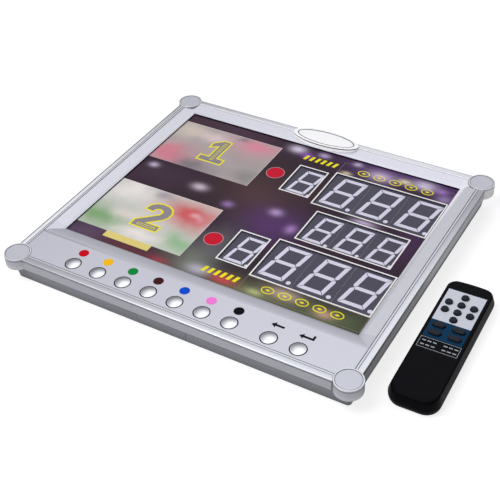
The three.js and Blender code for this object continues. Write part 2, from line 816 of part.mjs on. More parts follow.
const remoteKeys = [
  ...[0, 1, 2, 3].map((row) => ({ x: 0, y: -row * remoteKeyPitch, pill: false })),
  ...[1, 2].map((row) => ({ x: -remoteKeyColumn, y: -row * remoteKeyPitch, pill: false })),
  ...[1, 2].map((row) => ({ x: remoteKeyColumn, y: -row * remoteKeyPitch, pill: false })),
].map((key) => ({ ...key, y: remoteLength / 2 - remoteKeyHead + key.y }));
const remotePills = [-1, 1].flatMap((side) => [0, 1].map((row) => ({
  x: side * remotePillColumn, y: remoteLength / 2 - remotePillHead - row * remotePillPitch, pill: true,
})));

// The outline of a key or of its hole, grown by a margin
function remoteKeyOutline({ x, y, pill }, margin) {
  const halfLength = (pill ? remotePillLength / 2 : remoteKeyRadius) + margin;
  const halfWidth = (pill ? remotePillWidth / 2 : remoteKeyRadius) + margin;
  return roundRectangle(
    x - halfLength, x + halfLength, y - halfWidth, y + halfWidth, halfWidth, halfWidth,
  );
}

function remoteUpperShell() {
  const lowZ = remotePartingZ + seatGap;
  const roofZ = remoteTopZ - remoteWall;
  const outer = loft([
    remoteRing(lowZ, 0),
    remoteRing(remoteTopZ - remoteEdge, remoteDraft),
    remoteRing(
      remoteTopZ - remoteEdge / 4, remoteDraft + remoteEdge / 3, remoteDraft + remoteTailSlope,
    ),
    remoteRing(
      remoteTopZ, remoteDraft + remoteEdge, remoteDraft + remoteEdge + remoteTailSlope,
    ),
  ]);
  const inner = loft([
    remoteRing(lowZ - cutOverrun, remoteWall),
    remoteRing(
      roofZ, remoteWall + remoteDraft + remoteEdge / 3, remoteWall + remoteDraft + remoteTailSlope,
    ),
  ]);
  const holes = [...remoteKeys, ...remotePills].map((key) => prism(
    remoteKeyOutline(key, remoteKeyGap), roofZ - cutOverrun, remoteTopZ + cutOverrun,
  ));
  return cutBy(outer, [inner, ...holes, emitterBarrel(seatGap, cutOverrun)]);
}

function remoteLowerBody() {
  return loft([
    remoteRing(0, remoteSole),
    remoteRing(remoteSole / 3, remoteSole / 2),
    remoteRing(remotePartingZ / 2, remoteSole / 8),
    remoteRing(remotePartingZ, 0),
  ]);
}

function batteryCoverSpace(gap) {
  const half = batteryCoverWidth / 2 - gap;
  const low = -remoteLength / 2 - cutOverrun;
  const high = -remoteLength / 2 + batteryCoverLength - gap;
  return block(-half, half, low, high, -cutOverrun, remoteWall + seatGap - gap);
}

function remoteLowerShell() {
  const inner = loft([
    remoteRing(remoteWall, remoteSole + remoteWall / 2),
    remoteRing(remotePartingZ + cutOverrun, remoteWall),
  ]);
  const boardLowZ = remoteBoardTopZ - remoteBoardThickness - seatGap;
  const postY = [
    remoteLength / 2 - remoteBoardMargin - remoteBoardLength + bossRadius,
    remoteLength / 2 - remoteBoardMargin - remoteTailCorner,
  ];
  const pegs = postY.map((y) => cylinder(bossRadius, remoteWall / 2, boardLowZ, smallSides, 0, y));
  const shell = joined([remoteLowerBody().subtract(inner), ...pegs]);
  return shell.subtract(batteryCoverSpace(0));
}

function batteryCover() {
  return remoteLowerBody().intersect(batteryCoverSpace(seatGap));
}

function remoteBoard() {
  const half = remoteWidth / 2 - remoteBoardMargin;
  const high = remoteLength / 2 - remoteBoardMargin - remoteWall;
  return prism(
    roundRectangle(-half, half, high - remoteBoardLength, high, remoteWall, remoteHeadCorner),
    remoteBoardTopZ - remoteBoardThickness, remoteBoardTopZ,
  );
}

function remoteKey(key) {
  const roofZ = remoteTopZ - remoteWall;
  const flangeTopZ = roofZ - seatGap;
  const flangeLowZ = flangeTopZ - remoteKeyFlangeThickness;
  const stemLowZ = remoteBoardTopZ + remoteKeyTravel + seatGap;
  const round = remoteKeyStemRadius / 4;
  const topZ = remoteTopZ + remoteKeyRise;
  const cap = loft([
    { z: flangeLowZ, outline: remoteKeyOutline(key, 0) },
    { z: topZ - round, outline: remoteKeyOutline(key, 0) },
    { z: topZ, outline: remoteKeyOutline(key, -round) },
  ]);
  const flange = prism(remoteKeyOutline(key, remoteKeyFlange), flangeLowZ, flangeTopZ);
  const stem = cylinder(remoteKeyStemRadius, stemLowZ, flangeTopZ, smallSides, key.x, key.y);
  return joined([cap, flange, stem]);
}

function battery(x) {
  const cell = new THREE.CylinderGeometry(batteryRadius, batteryRadius, batteryLength, smallSides);
  const y = -remoteLength / 2 + batteryTail + batteryLength / 2;
  cell.translate(x, y, remoteWall + 2 * seatGap + batteryRadius);
  return solidOf(cell);
}

// The emitter's barrel, along Y through the head's end wall; also the cutter for its hole
function emitterBarrel(gap, extra) {
  const radius = emitterRadius + gap;
  const barrel = new THREE.CylinderGeometry(radius, radius, emitterLength + extra, smallSides);
  const headY = remoteLength / 2 + remoteHeadBow - remoteDraft + emitterProud;
  barrel.translate(0, headY - (emitterLength - extra) / 2, remoteBoardTopZ + seatGap + emitterRadius);
  return solidOf(barrel);
}

// Assembly
const scoreboard = new THREE.Group();

addPiece(scoreboard, 'rear_tray', rearTray(), finishes.greyTray);
addPiece(scoreboard, 'service_cover', serviceCover(), finishes.greyTray);

for (const [name, quarterTurns, length, offset] of [
  ['rail_front', 0, postPitchX, halfY],
  ['rail_right', 1, postPitchY, halfX],
  ['rail_back', 2, postPitchX, halfY],
  ['rail_left', 3, postPitchY, halfX],
]) {
  const piece = addPiece(scoreboard, name, rail(length, offset), finishes.anodisedRail);
  piece.rotation.z = quarterTurns * 0.5 * Math.PI;
}

for (const [name, sideX, sideY, quarterTurns] of posts) {
  const piece = addPiece(scoreboard, `post_${name}`, cornerPost(), finishes.postGrey);
  piece.position.set(sideX * halfX, sideY * halfY, 0);
  piece.rotation.z = quarterTurns * 0.5 * Math.PI;
}

addPiece(scoreboard, 'bezel_panel', bezelPanel(), finishes.silverBezel);
addPiece(scoreboard, 'print_sheet', printSheet(), finishes.print);

for (const { name, left, y, kind, count } of displays) {
  for (let i = 0; i < count; i += 1) {
    const title = count === 1 ? `digit_${name}` : `digit_${name}_${i + 1}`;
    const centreX = left + (i + 0.5) * kind.width;
    addPiece(scoreboard, title, displayModule(kind, centreX, y), finishes.moduleFace);
  }
}

for (const [name, x, y] of lights) addPiece(scoreboard, name, turnLight(x, y), finishes.redLens);
for (const { name, x } of keyPlaces) addPiece(scoreboard, `key_${name}`, keyCap(x), finishes.chrome);

addPiece(scoreboard, 'display_board', displayBoard(), finishes.board);
addPiece(scoreboard, 'key_board', switchBoard(), finishes.board);
addPiece(scoreboard, 'receiver', receiver(), finishes.lensPurple);
addPiece(scoreboard, 'power_inlet', powerInlet(), finishes.blackPlastic);
addPiece(scoreboard, 'badge_dish', badgeDish(), finishes.whiteBadge);
addPiece(scoreboard, 'badge_plate', badgePlate(), finishes.whiteBadge);

const remote = new THREE.Group();
remote.position.set(halfX + postRadius + remoteStandOff + remoteWidth / 2, remoteCentreY, 0);
remote.rotation.z = THREE.MathUtils.degToRad(remoteTurnDegrees);
scoreboard.add(remote);

addPiece(remote, 'remote_upper_shell', remoteUpperShell(), finishes.blackPlastic);
addPiece(remote, 'remote_lower_shell', remoteLowerShell(), finishes.blackPlastic);
addPiece(remote, 'remote_battery_cover', batteryCover(), finishes.blackPlastic);
addPiece(remote, 'remote_board', remoteBoard(), finishes.board);
addPiece(remote, 'remote_emitter', emitterBarrel(0, 0), finishes.lensPurple);
[-1, 1].forEach((side, i) => {
  const cell = battery(side * (batteryRadius + seatGap / 2));
  addPiece(remote, `remote_battery_${i + 1}`, cell, finishes.cell);
});
remoteKeys.forEach((key, i) => {
  addPiece(remote, `remote_key_${i + 1}`, remoteKey(key), finishes.darkKey);
});
remotePills.forEach((key, i) => {
  addPiece(remote, `remote_pill_${i + 1}`, remoteKey(key), finishes.darkKey);
});

export default scoreboard;
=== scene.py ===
import math
from contextlib import contextmanager

import bmesh
import bpy
from mathutils import Matrix, Vector


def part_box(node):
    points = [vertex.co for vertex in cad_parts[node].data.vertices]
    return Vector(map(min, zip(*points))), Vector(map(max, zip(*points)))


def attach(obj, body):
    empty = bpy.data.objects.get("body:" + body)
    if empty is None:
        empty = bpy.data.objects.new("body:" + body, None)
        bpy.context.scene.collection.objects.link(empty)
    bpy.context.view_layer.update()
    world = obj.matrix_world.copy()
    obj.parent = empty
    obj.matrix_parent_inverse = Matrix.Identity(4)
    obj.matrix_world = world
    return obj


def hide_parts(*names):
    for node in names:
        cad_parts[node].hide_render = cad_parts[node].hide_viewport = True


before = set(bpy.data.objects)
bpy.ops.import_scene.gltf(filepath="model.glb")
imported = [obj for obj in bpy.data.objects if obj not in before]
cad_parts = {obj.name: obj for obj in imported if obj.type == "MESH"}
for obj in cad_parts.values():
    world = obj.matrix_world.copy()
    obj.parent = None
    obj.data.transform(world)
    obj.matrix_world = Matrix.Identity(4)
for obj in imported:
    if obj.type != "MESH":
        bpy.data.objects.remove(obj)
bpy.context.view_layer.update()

# Camera
# It stands at the front right and looks down over the scoreboard, turned a little on its own axis.
camera_place = (0.475350, -0.763340, 0.734195)
camera_azimuth, camera_elevation, camera_roll = map(math.radians, (32.47652548, 39.831756, -3.3064469))
level_share = math.cos(camera_elevation)
backward = Vector((
    math.sin(camera_azimuth) * level_share, -math.cos(camera_azimuth) * level_share,
    math.sin(camera_elevation),
))
sideways = Vector((math.cos(camera_azimuth), math.sin(camera_azimuth), 0))
upward = sideways.cross(-backward)
rolled_side = sideways * math.cos(camera_roll) + upward * math.sin(camera_roll)
rolled_up = upward * math.cos(camera_roll) - sideways * math.sin(camera_roll)
camera = bpy.data.objects.new("camera", bpy.data.cameras.new("camera"))
camera.data.lens = 71.7988
camera.data.sensor_width = 36
camera.matrix_world = Matrix.Translation(camera_place) @ Matrix((
    (rolled_side.x, rolled_up.x, backward.x),
    (rolled_side.y, rolled_up.y, backward.y),
    (rolled_side.z, rolled_up.z, backward.z),
)).to_4x4()
bpy.context.scene.collection.objects.link(camera)
bpy.context.scene.camera = camera
bpy.context.scene.view_settings.view_transform = "Standard"


# Studio
# A white table and a white room, a wide soft lamp overhead and another behind the table.
class Wire:
    """One output of a node. Sums, products and comparisons of wires add their Math nodes."""

    def __init__(self, nodes, socket):
        self.nodes, self.socket = nodes, socket

    def math(self, operation, *terms):
        return self.nodes.add("ShaderNodeMath", {"operation": operation}, dict(enumerate(terms)))

    def other(self, output):
        return Wire(self.nodes, self.socket.node.outputs[output])

    def clamp(self):
        return self.nodes.add("ShaderNodeClamp", {}, {"Value": self})

    def __add__(self, term):
        return self.math("ADD", self, term)

    def __radd__(self, term):
        return self.math("ADD", term, self)

    def __sub__(self, term):
        return self.math("SUBTRACT", self, term)

    def __rsub__(self, term):
        return self.math("SUBTRACT", term, self)

    def __mul__(self, term):
        return self.math("MULTIPLY", self, term)

    def __rmul__(self, term):
        return self.math("MULTIPLY", term, self)

    def __truediv__(self, term):
        return self.math("DIVIDE", self, term)

    def __pow__(self, term):
        return self.math("POWER", self, term)

    def __gt__(self, term):
        return self.math("GREATER_THAN", self, term)

    def __lt__(self, term):
        return self.math("LESS_THAN", self, term)

    def __abs__(self):
        return self.math("ABSOLUTE", self)


class Nodes:
    """A node tree that grows by one method."""

    def __init__(self, tree):
        self.tree = tree

    def add(self, kind, settings=None, sockets=None, output=None):
        node = self.tree.nodes.new(kind)
        for name, value in (settings or {}).items():
            if name == "stops":
                ramp = node.color_ramp
                while len(ramp.elements) < len(value):
                    ramp.elements.new(1)
                for element, (position, colour) in zip(ramp.elements, value):
                    element.position, element.color = position, colour
            elif name == "interpolation":
                node.color_ramp.interpolation = value
            else:
                setattr(node, name, value)
        for name, value in (sockets or {}).items():
            socket = node.inputs[name] if isinstance(name, int) else next(
                s for s in node.inputs if s.name == name and s.enabled
            )
            for part in value if isinstance(value, list) else [value]:
                if isinstance(part, Wire):
                    self.tree.links.new(part.socket, socket)
                else:
                    socket.default_value = part
        if output is not None:
            return Wire(self, node.outputs[output])
        return Wire(self, next(s for s in node.outputs if s.enabled)) if len(node.outputs) else None


def paint(code):
    """A colour written as it looks, as the linear values that a shader takes."""
    parts = [int(code[i:i + 2], 16) / 255 for i in (1, 3, 5)]
    return (*[p / 12.92 if p <= 0.04045 else ((p + 0.055) / 1.055) ** 2.4 for p in parts], 1)


def link(name, mesh):
    made = bpy.data.objects.new(name, mesh)
    bpy.context.scene.collection.objects.link(made)
    return made


def seen_directly(nodes):
    """1 where the camera or a clear body shows the surface."""
    path = nodes.add("ShaderNodeLightPath", output="Is Camera Ray")
    return (path + path.other("Is Transmission Ray")).clamp()


room = bpy.data.worlds.new("room")
bpy.context.scene.world = room
room.use_nodes = True
room_nodes = Nodes(room.node_tree)
room_light = room.node_tree.nodes["Background"]
room_light.inputs["Color"].default_value = paint("#f6f7fc")
skyward = room_nodes.add("ShaderNodeTexCoord", output="Generated")
rightward = room_nodes.add("ShaderNodeSeparateXYZ", {}, {"Vector": skyward}, output="X")


def towards(place, steepness):
    """1 in one direction of the room, falling off round it."""
    facing = room_nodes.add("ShaderNodeVectorMath", {"operation": "DOT_PRODUCT"}, {
        0: skyward, 1: Vector(place).normalized(),
    }, output="Value")
    return facing.clamp() ** steepness


# Light comes mostly from above and a little from behind the table, and less from the right. Glossy surfaces
# also mirror a bright patch at the front left, and all of the room a little stronger than it lights.
above, patch = (-0.05, 0.35, 0.935), (-0.33, -0.5, 0.8)
least_light, above_light, above_spread, right_loss, patch_light = 0.2, 1.13, 1.2, 0.5, 1.5
lighting_share = 0.62
mirrored = room_nodes.add("ShaderNodeLightPath", output="Is Glossy Ray")
room_level = least_light + (towards(above, 4) * above_spread).clamp() * above_light
room_level = room_level * (1 - rightward.clamp() * right_loss)
room_level = room_level + mirrored * towards(patch, 10) * patch_light
room_strength = room_level * (lighting_share + mirrored * (1 - lighting_share))
directly = seen_directly(room_nodes)
room_strength = room_strength * (1 - directly) + directly
room.node_tree.links.new(room_strength.socket, room_light.inputs["Strength"])

for lamp_name, lamp_place, lamp_target, lamp_size, lamp_watts in (
    ("overhead_lamp", (-0.6, -0.9, 1.7), (0.0, 0.0, 0.0), 1.2, 24.0),
    ("rear_lamp", (-0.9, 1.5, 1.5), (0.0, 0.1, 0.0), 1.2, 7.0),
):
    lamp = bpy.data.objects.new(lamp_name, bpy.data.lights.new(lamp_name, "AREA"))
    lamp.data.size = lamp_size
    lamp.data.energy = lamp_watts
    lamp.location = lamp_place
    lamp.rotation_euler = (Vector(lamp_target) - Vector(lamp_place)).to_track_quat("-Z", "Y").to_euler()
    lamp.visible_glossy = False
    bpy.context.scene.collection.objects.link(lamp)

# The table glows, and more where it is seen, so that it looks white and still takes a faint shadow
floor_reach, floor_z, floor_glow_level, floor_seen_level = 4.0, -0.0002, 0.28, 0.5
table_white = (0.36, 0.36, 0.37, 1)
floor_mesh = bpy.data.meshes.new("floor")
floor_mesh.from_pydata(
    [(x * floor_reach, y * floor_reach, floor_z) for x, y in ((-1, -1), (1, -1), (1, 1), (-1, 1))],
    [], [(0, 1, 2, 3)],
)
floor = link("floor", floor_mesh)
floor_material = bpy.data.materials.new("white_table")
floor_material.use_nodes = True
floor_nodes = Nodes(floor_material.node_tree)
floor_nodes.tree.nodes.remove(floor_nodes.tree.nodes["Principled BSDF"])
floor_glow = floor_nodes.add("ShaderNodeEmission", {}, {
    "Color": (1, 1, 1, 1), "Strength": seen_directly(floor_nodes) * floor_seen_level + floor_glow_level,
})
floor_paint = floor_nodes.add("ShaderNodeBsdfDiffuse", {}, {"Color": table_white})
floor_sum = floor_nodes.add("ShaderNodeAddShader", {}, {0: floor_glow, 1: floor_paint})
floor_nodes.tree.links.new(
    floor_sum.socket, floor_nodes.tree.nodes["Material Output"].inputs["Surface"],
)
floor.data.materials.append(floor_material)


# Rear tray and service cover
# A box moulded in grey plastic that carries everything else, with a snapped-in cover in its front wall.
# Six screws go up through counterbores in its floor, and two keyholes hang it on a wall.
mm = 0.001
case = "case"


class Finish(Nodes):
    """A material of one piece or group. Its colour is laid in layers, by the place on the piece."""

    def __init__(self, name, **steady):
        self.material = bpy.data.materials.new(name)
        self.material.use_nodes = True
        super().__init__(self.material.node_tree)
        self.shader = self.tree.nodes["Principled BSDF"]
        for label, value in steady.items():
            self.shader.inputs[label.replace("_", " ")].default_value = value
        self.place = self.add("ShaderNodeTexCoord", output="Object")

    def axes(self):
        """The place along X, Y and Z in millimetres."""
        split = self.add("ShaderNodeSeparateXYZ", {}, {"Vector": self.place})
        return [split.other(axis) / mm for axis in "XYZ"]

    def noise(self, grain, detail=2.0, stretch=(1, 1, 1)):
        """Clouds from 0 to 1, whose grain is given in millimetres."""
        place = self.add("ShaderNodeMapping", {}, {"Vector": self.place, "Scale": stretch})
        return self.add("ShaderNodeTexNoise", {}, {
            "Vector": place, "Scale": 1 / (grain * mm), "Detail": detail,
        })

    def blend(self, share, first, second):
        return self.add("ShaderNodeMix", {"data_type": "RGBA"}, {
            "Factor": share, "A": first, "B": second,
        })

    def edges(self, radius):
        """1 along edges, falling to 0 within the radius."""
        rounded = self.add("ShaderNodeBevel", {"samples": 4}, {"Radius": radius * mm})
        plain = self.add("ShaderNodeNewGeometry", output="Normal")
        same = self.add("ShaderNodeVectorMath", {"operation": "DOT_PRODUCT"}, {
            0: rounded, 1: plain,
        }, output="Value")
        return ((1 - same) * 5).clamp()

    def put(self, label, wire):
        self.tree.links.new(wire.socket, self.shader.inputs[label])

    def lay(self, colour):
        """Makes this the piece's colour."""
        self.colour = colour
        self.put("Base Color", colour)

    def tint(self, *layers):
        """Turns the piece's colour into the colour of each layer, as far as the layer's share says."""
        for share, code in layers:
            self.lay(self.blend(share, self.colour, paint(code)))

    def relief(self, height, depth):
        self.put("Normal", self.add("ShaderNodeBump", {}, {"Height": height, "Distance": depth * mm}))

    def gloss(self, rough, grain, depth, cloud, stretch=(1, 1, 1)):
        """Uneven gloss and a fine grain. It gives back both patterns, for the colour."""
        clouds = self.noise(cloud, 3.0)
        fine = self.noise(grain, 2.0, stretch)
        least, most = rough
        self.put("Roughness", least + (most - least) * (clouds * 0.6 + fine * 0.4))
        self.relief(fine, depth)
        return clouds, fine

    def surface(self, light, dark, rough, grain, depth, cloud=45, stretch=(1, 1, 1), rubbed=None, edge=0.5):
        """Clouded colour, uneven gloss, a fine grain, and edges that are rubbed to another colour."""
        clouds, fine = self.gloss(rough, grain, depth, cloud, stretch)
        self.lay(self.blend(clouds * 0.5 + fine * 0.5, paint(dark), paint(light)))
        if rubbed:
            self.tint((self.edges(edge) * (0.35 + clouds * 0.6), rubbed))
        return self


def wear(made, slot, body, *nodes):
    """Attaches a finished piece to its body and hides the nodes it stands for. The slot is not used."""
    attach(made, body)
    if nodes:
        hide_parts(*nodes)


def metres(place):
    return [part * mm for part in place]


@contextmanager
def edited(mesh, start=None):
    """A mesh, or another one's shape for it, open to changes until the block ends."""
    shape = bmesh.new()
    shape.from_mesh(start or mesh)
    yield shape
    shape.to_mesh(mesh)
    shape.free()


def settled(draft):
    """The plain mesh of an object with its modifiers, which is then taken away."""
    graph = bpy.context.evaluated_depsgraph_get()
    mesh = bpy.data.meshes.new_from_object(
        draft.evaluated_get(graph), preserve_all_data_layers=True, depsgraph=graph,
    )
    bpy.data.objects.remove(draft)
    return mesh


def cut(draft, cutter, operation="DIFFERENCE"):
    """Takes the cutter's shape out of an object, or keeps only what lies in it."""
    modifier = draft.modifiers.new("cut", "BOOLEAN")
    modifier.operation, modifier.object, modifier.solver = operation, cutter, "EXACT"


def round_off(draft, rounding, rows, angle):
    """Rounds the edges that turn by more than an angle in degrees."""
    bevel = draft.modifiers.new("rounding", "BEVEL")
    bevel.width, bevel.segments = rounding * mm, rows
    bevel.limit_method, bevel.angle_limit = "ANGLE", math.radians(angle)
    bevel.use_clamp_overlap = False


def dressed(node, finish, rounding, rows=2, cutters=(), mitred=None):
    """A copy of a node's mesh in whole faces, with its edges rounded and its curves smooth."""
    weld, level_angle, crease = 0.002 * mm, math.radians(0.5), math.radians(39)
    mesh = bpy.data.meshes.new(f"{node}_whole")
    with edited(mesh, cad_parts[node].data) as shape:
        bmesh.ops.remove_doubles(shape, verts=shape.verts, dist=weld)
        bmesh.ops.dissolve_limit(
            shape, angle_limit=level_angle, verts=shape.verts, edges=shape.edges,
        )
    draft = link(f"{node}_draft", mesh)
    for cutter in cutters:
        cut(draft, cutter)
    mesh = settled(draft)
    with edited(mesh) as shape:
        # Only what curves is smooth. A face that is square to an axis joins a curve only past a wider angle
        for face in shape.faces:
            squared = max(abs(part) for part in face.normal) > 0.99999
            least = math.radians(1.2 if squared else 0.05)
            face.smooth = any(least < edge.calc_face_angle(0) < crease for edge in face.edges)
        for edge in shape.edges:
            if mitred and mitred(*(end.co / mm for end in edge.verts)):
                edge.smooth = False
    draft = link(f"{node}_rounded", mesh)
    round_off(draft, rounding, rows, 40)
    made = link(f"{node}_piece", settled(draft))
    made.data.materials.clear()
    made.data.materials.append(finish.material)
    return made


class Growth(Nodes):
    """A Geometry Nodes tree with named inputs for its sizes."""

    kinds = {int: "Int", float: "Float", tuple: "Vector", bpy.types.Material: "Material"}

    def __init__(self, name, **sizes):
        self.group = bpy.data.node_groups.new(name, "GeometryNodeTree")
        super().__init__(self.group)
        face = self.group.interface
        face.new_socket(name="Geometry", in_out="OUTPUT", socket_type="NodeSocketGeometry")
        face.new_socket(name="Geometry", in_out="INPUT", socket_type="NodeSocketGeometry")
        self.names = {
            label: face.new_socket(
                name=label.replace("_", " "), in_out="INPUT", socket_type=f"NodeSocket{self.kinds[kind]}",
            ).identifier
            for label, kind in sizes.items()
        }
        self.start = self.add("NodeGroupInput")
        self.given = {label: self.start.other(label.replace("_", " ")) for label in sizes}

    def vector(self, x=0.0, y=0.0, z=0.0):
        return self.add("ShaderNodeCombineXYZ", {}, {"X": x, "Y": y, "Z": z})

    def split(self, vector):
        parts = self.add("ShaderNodeSeparateXYZ", {}, {"Vector": vector})
        return [parts.other(axis) for axis in "XYZ"]

    def joined(self, *parts):
        return self.add("GeometryNodeJoinGeometry", {}, {"Geometry": list(parts)})

    def merged(self, geometry, distance):
        """Joins the points that lie closer than a distance in millimetres."""
        return self.add("GeometryNodeMergeByDistance", {}, {
            "Geometry": geometry, "Distance": distance * mm,
        })

    def line(self, count, first, step):
        """Places in a row."""
        return self.add("GeometryNodeMeshLine", {"mode": "OFFSET"}, {
            "Count": count, "Start Location": first, "Offset": step,
        })

    def grid(self, size_x, size_y, across, rows):
        return self.add("GeometryNodeMeshGrid", {}, {
            "Size X": size_x, "Size Y": size_y, "Vertices X": across, "Vertices Y": rows,
        })

    def copies(self, places, geometry, **more):
        return self.add("GeometryNodeInstanceOnPoints", {}, {
            "Points": places, "Instance": geometry, **more,
        })

    def end(self, geometry, finishes):
        """Realises the geometry and gives it its materials: one, or one for each layer number."""
        geometry = self.add("GeometryNodeRealizeInstances", {}, {"Geometry": geometry})
        for number, label in enumerate(finishes):
            sockets = {"Geometry": geometry, "Material": self.given[label]}
            if number:
                layer = self.add("GeometryNodeInputNamedAttribute", {"data_type": "INT"}, {"Name": "layer"})
                sockets["Selection"] = self.add("FunctionNodeCompare", {
                    "data_type": "INT", "operation": "EQUAL",
                }, {2: layer, 3: number})
            geometry = self.add("GeometryNodeSetMaterial", {}, sockets)
        self.add("NodeGroupOutput", {}, {"Geometry": geometry})

    def grow(self, name, start=None, **values):
        """The plain mesh that the tree makes, as an object of its own."""
        draft = link(f"{name}_draft", start or bpy.data.meshes.new(f"{name}_start"))
        modifier = draft.modifiers.new("growth", "NODES")
        modifier.node_group = self.group
        for label, value in values.items():
            modifier[self.names[label]] = value
        mesh = settled(draft)
        mesh.name = name
        return link(name, mesh)


# Turned pieces: the outline's points hold the two half widths and the height of each ring
turning = Growth("turning", Sides=int, Finish=bpy.types.Material)
outline_size = turning.add("GeometryNodeAttributeDomainSize", {"component": "MESH"}, {
    "Geometry": turning.start,
}, output="Point Count")
turning_grid = turning.grid(1.0, 1.0, turning.given["Sides"] + 1, outline_size)
grid_point = turning.add("GeometryNodeInputIndex")
ring_number = turning.add("ShaderNodeMath", {"operation": "FLOOR"}, {0: (grid_point + 0.5) / outline_size})
ring_x, ring_y, ring_z = turning.split(
    turning.add("GeometryNodeSampleIndex", {"data_type": "FLOAT_VECTOR"}, {
        "Geometry": turning.start,
        "Value": turning.add("GeometryNodeInputPosition"),
        "Index": grid_point - ring_number * outline_size,
    }),
)
turn_angle = ring_number * (2 * math.pi) / turning.given["Sides"]
turned_place = turning.vector(
    ring_x * turn_angle.math("COSINE", turn_angle), ring_y * turn_angle.math("SINE", turn_angle), ring_z,
)
turned_shape = turning.add("GeometryNodeSetPosition", {}, {
    "Geometry": turning_grid, "Position": turned_place,
})
crease = math.radians(50)
turned_shape = turning.add("GeometryNodeSetShadeSmooth", {"domain": "EDGE"}, {
    "Geometry": turning.merged(turned_shape, 0.0005),
    "Selection": turning.add("GeometryNodeInputMeshEdgeAngle") > crease, "Shade Smooth": False,
})
turning.end(turned_shape, ["Finish"])


def outline(*corners, steps=5):
    """Points of an outline whose corners are (half width X, half width Y, height, rounding)."""
    points = []
    for i, (x, y, z, *rounding) in enumerate(corners):
        if not rounding or not 0 < i < len(corners) - 1:
            points.append((x, y, z))
            continue
        here = Vector((x, y, z))
        before = (Vector(corners[i - 1][:3]) - here).normalized() * rounding[0]
        after = (Vector(corners[i + 1][:3]) - here).normalized() * rounding[0]
        for step in range(steps + 1):
            share = step / steps
            points.append(tuple(here + before * (1 - share) ** 2 + after * share ** 2))
    return points


def round_outline(*corners):
    """Points of an outline whose corners are (radius, height, rounding)."""
    return outline(*((radius, radius, *rest) for radius, *rest in corners))


def turned(name, points, place, sides, finish):
    """A turned piece that stands at a place in millimetres."""
    start = bpy.data.meshes.new(f"{name}_outline")
    start.from_pydata([metres(point) for point in points], [], [])
    made = turning.grow(name, start, Sides=sides, Finish=finish.material)
    made.data.transform(Matrix.Translation(metres(place)))
    with edited(made.data) as shape:
        bmesh.ops.recalc_face_normals(shape, faces=shape.faces)
    return made


# Painted shade: the tray is darker towards its foot, and darkest under it
tray_grey = Finish("tray_grey", Metallic=0.0, Specular_IOR_Level=0.3).surface(
    "#b2b3bb", "#a0a1a9", (0.42, 0.6), 0.7, 0.03, rubbed="#b6b8c2", edge=0.7,
)
shade_top_z, foot_z = 15.0, 1.0
tray_z = tray_grey.axes()[2]
tray_grey.tint((
    ((shade_top_z - tray_z) / shade_top_z).clamp() * 0.55 + (tray_z < foot_z) * 0.25, "#5c5d64",
))

screw_x, screw_y = 186.0, 160.0
counterbore_radius, counterbore_depth = 4.2, 1.5
screw_steel = Finish("screw_steel", Metallic=0.9).surface(
    "#8f929a", "#5c5f66", (0.25, 0.45), 0.25, 0.01, cloud=3, rubbed="#d0d2d8", edge=0.2,
)
counterbores = [
    turned(f"counterbore_{column}_{line}", round_outline(
        (0, -1), (counterbore_radius, -1), (counterbore_radius, counterbore_depth), (0, counterbore_depth),
    ), (column * screw_x, line * screw_y, 0), 32, screw_steel)
    for column in (-1, 0, 1) for line in (-1, 1)
]
wear(dressed("rear_tray", tray_grey, 0.4, cutters=counterbores), "tray_grey", case, "rear_tray")
for cutter in counterbores:
    bpy.data.objects.remove(cutter)
wear(dressed("service_cover", tray_grey, 0.35), "tray_grey", case, "service_cover")


# Screws in the tray's floor
# Six pan-head steel screws with a cross recess. Each goes through the tray's floor into a post or a rail.
screwing = Growth(
    "screwing", Slot_Width=float, Slot_Length=float, Slot_Top=float, Across=int, Rows=int,
    Span_X=float, Span_Y=float, Finish=bpy.types.Material,
)
recess_arms = [
    screwing.add("GeometryNodeMeshCube", {}, {"Size": screwing.vector(**{
        along: screwing.given["Slot_Length"], across: screwing.given["Slot_Width"],
        "z": screwing.given["Slot_Top"] * 2,
    })}) for along, across in (("x", "y"), ("y", "x"))
]
recessed_head = screwing.add("GeometryNodeMeshBoolean", {"operation": "DIFFERENCE", "solver": "EXACT"}, {
    "Mesh 1": screwing.start, "Mesh 2": recess_arms,
})
screw_grid = screwing.grid(*(screwing.given[label] for label in ("Span_X", "Span_Y", "Across", "Rows")))
screwing.end(screwing.copies(screw_grid, recessed_head), ["Finish"])
screw_head = turned("screw_head", round_outline(
    (0, 0.2), (1.8, 0.2), (3.4, 0.4, 0.6), (3.4, counterbore_depth), (0, counterbore_depth),
), (0, 0, 0), 28, screw_steel)
screws = screwing.grow(
    "tray_screws", screw_head.data.copy(), Slot_Width=0.9 * mm, Slot_Length=3.6 * mm, Slot_Top=1.1 * mm,
    Across=3, Rows=2, Span_X=2 * screw_x * mm, Span_Y=2 * screw_y * mm, Finish=screw_steel.material,
)
bpy.data.objects.remove(screw_head)
wear(screws, "rail_aluminium", case)


# Power inlet
# A black barrel socket behind the hole in the tray's left wall, with its plated pin on the socket's axis.
def box_of(node):
    """A node's lowest and highest corners in millimetres."""
    return [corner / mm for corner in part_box(node)]


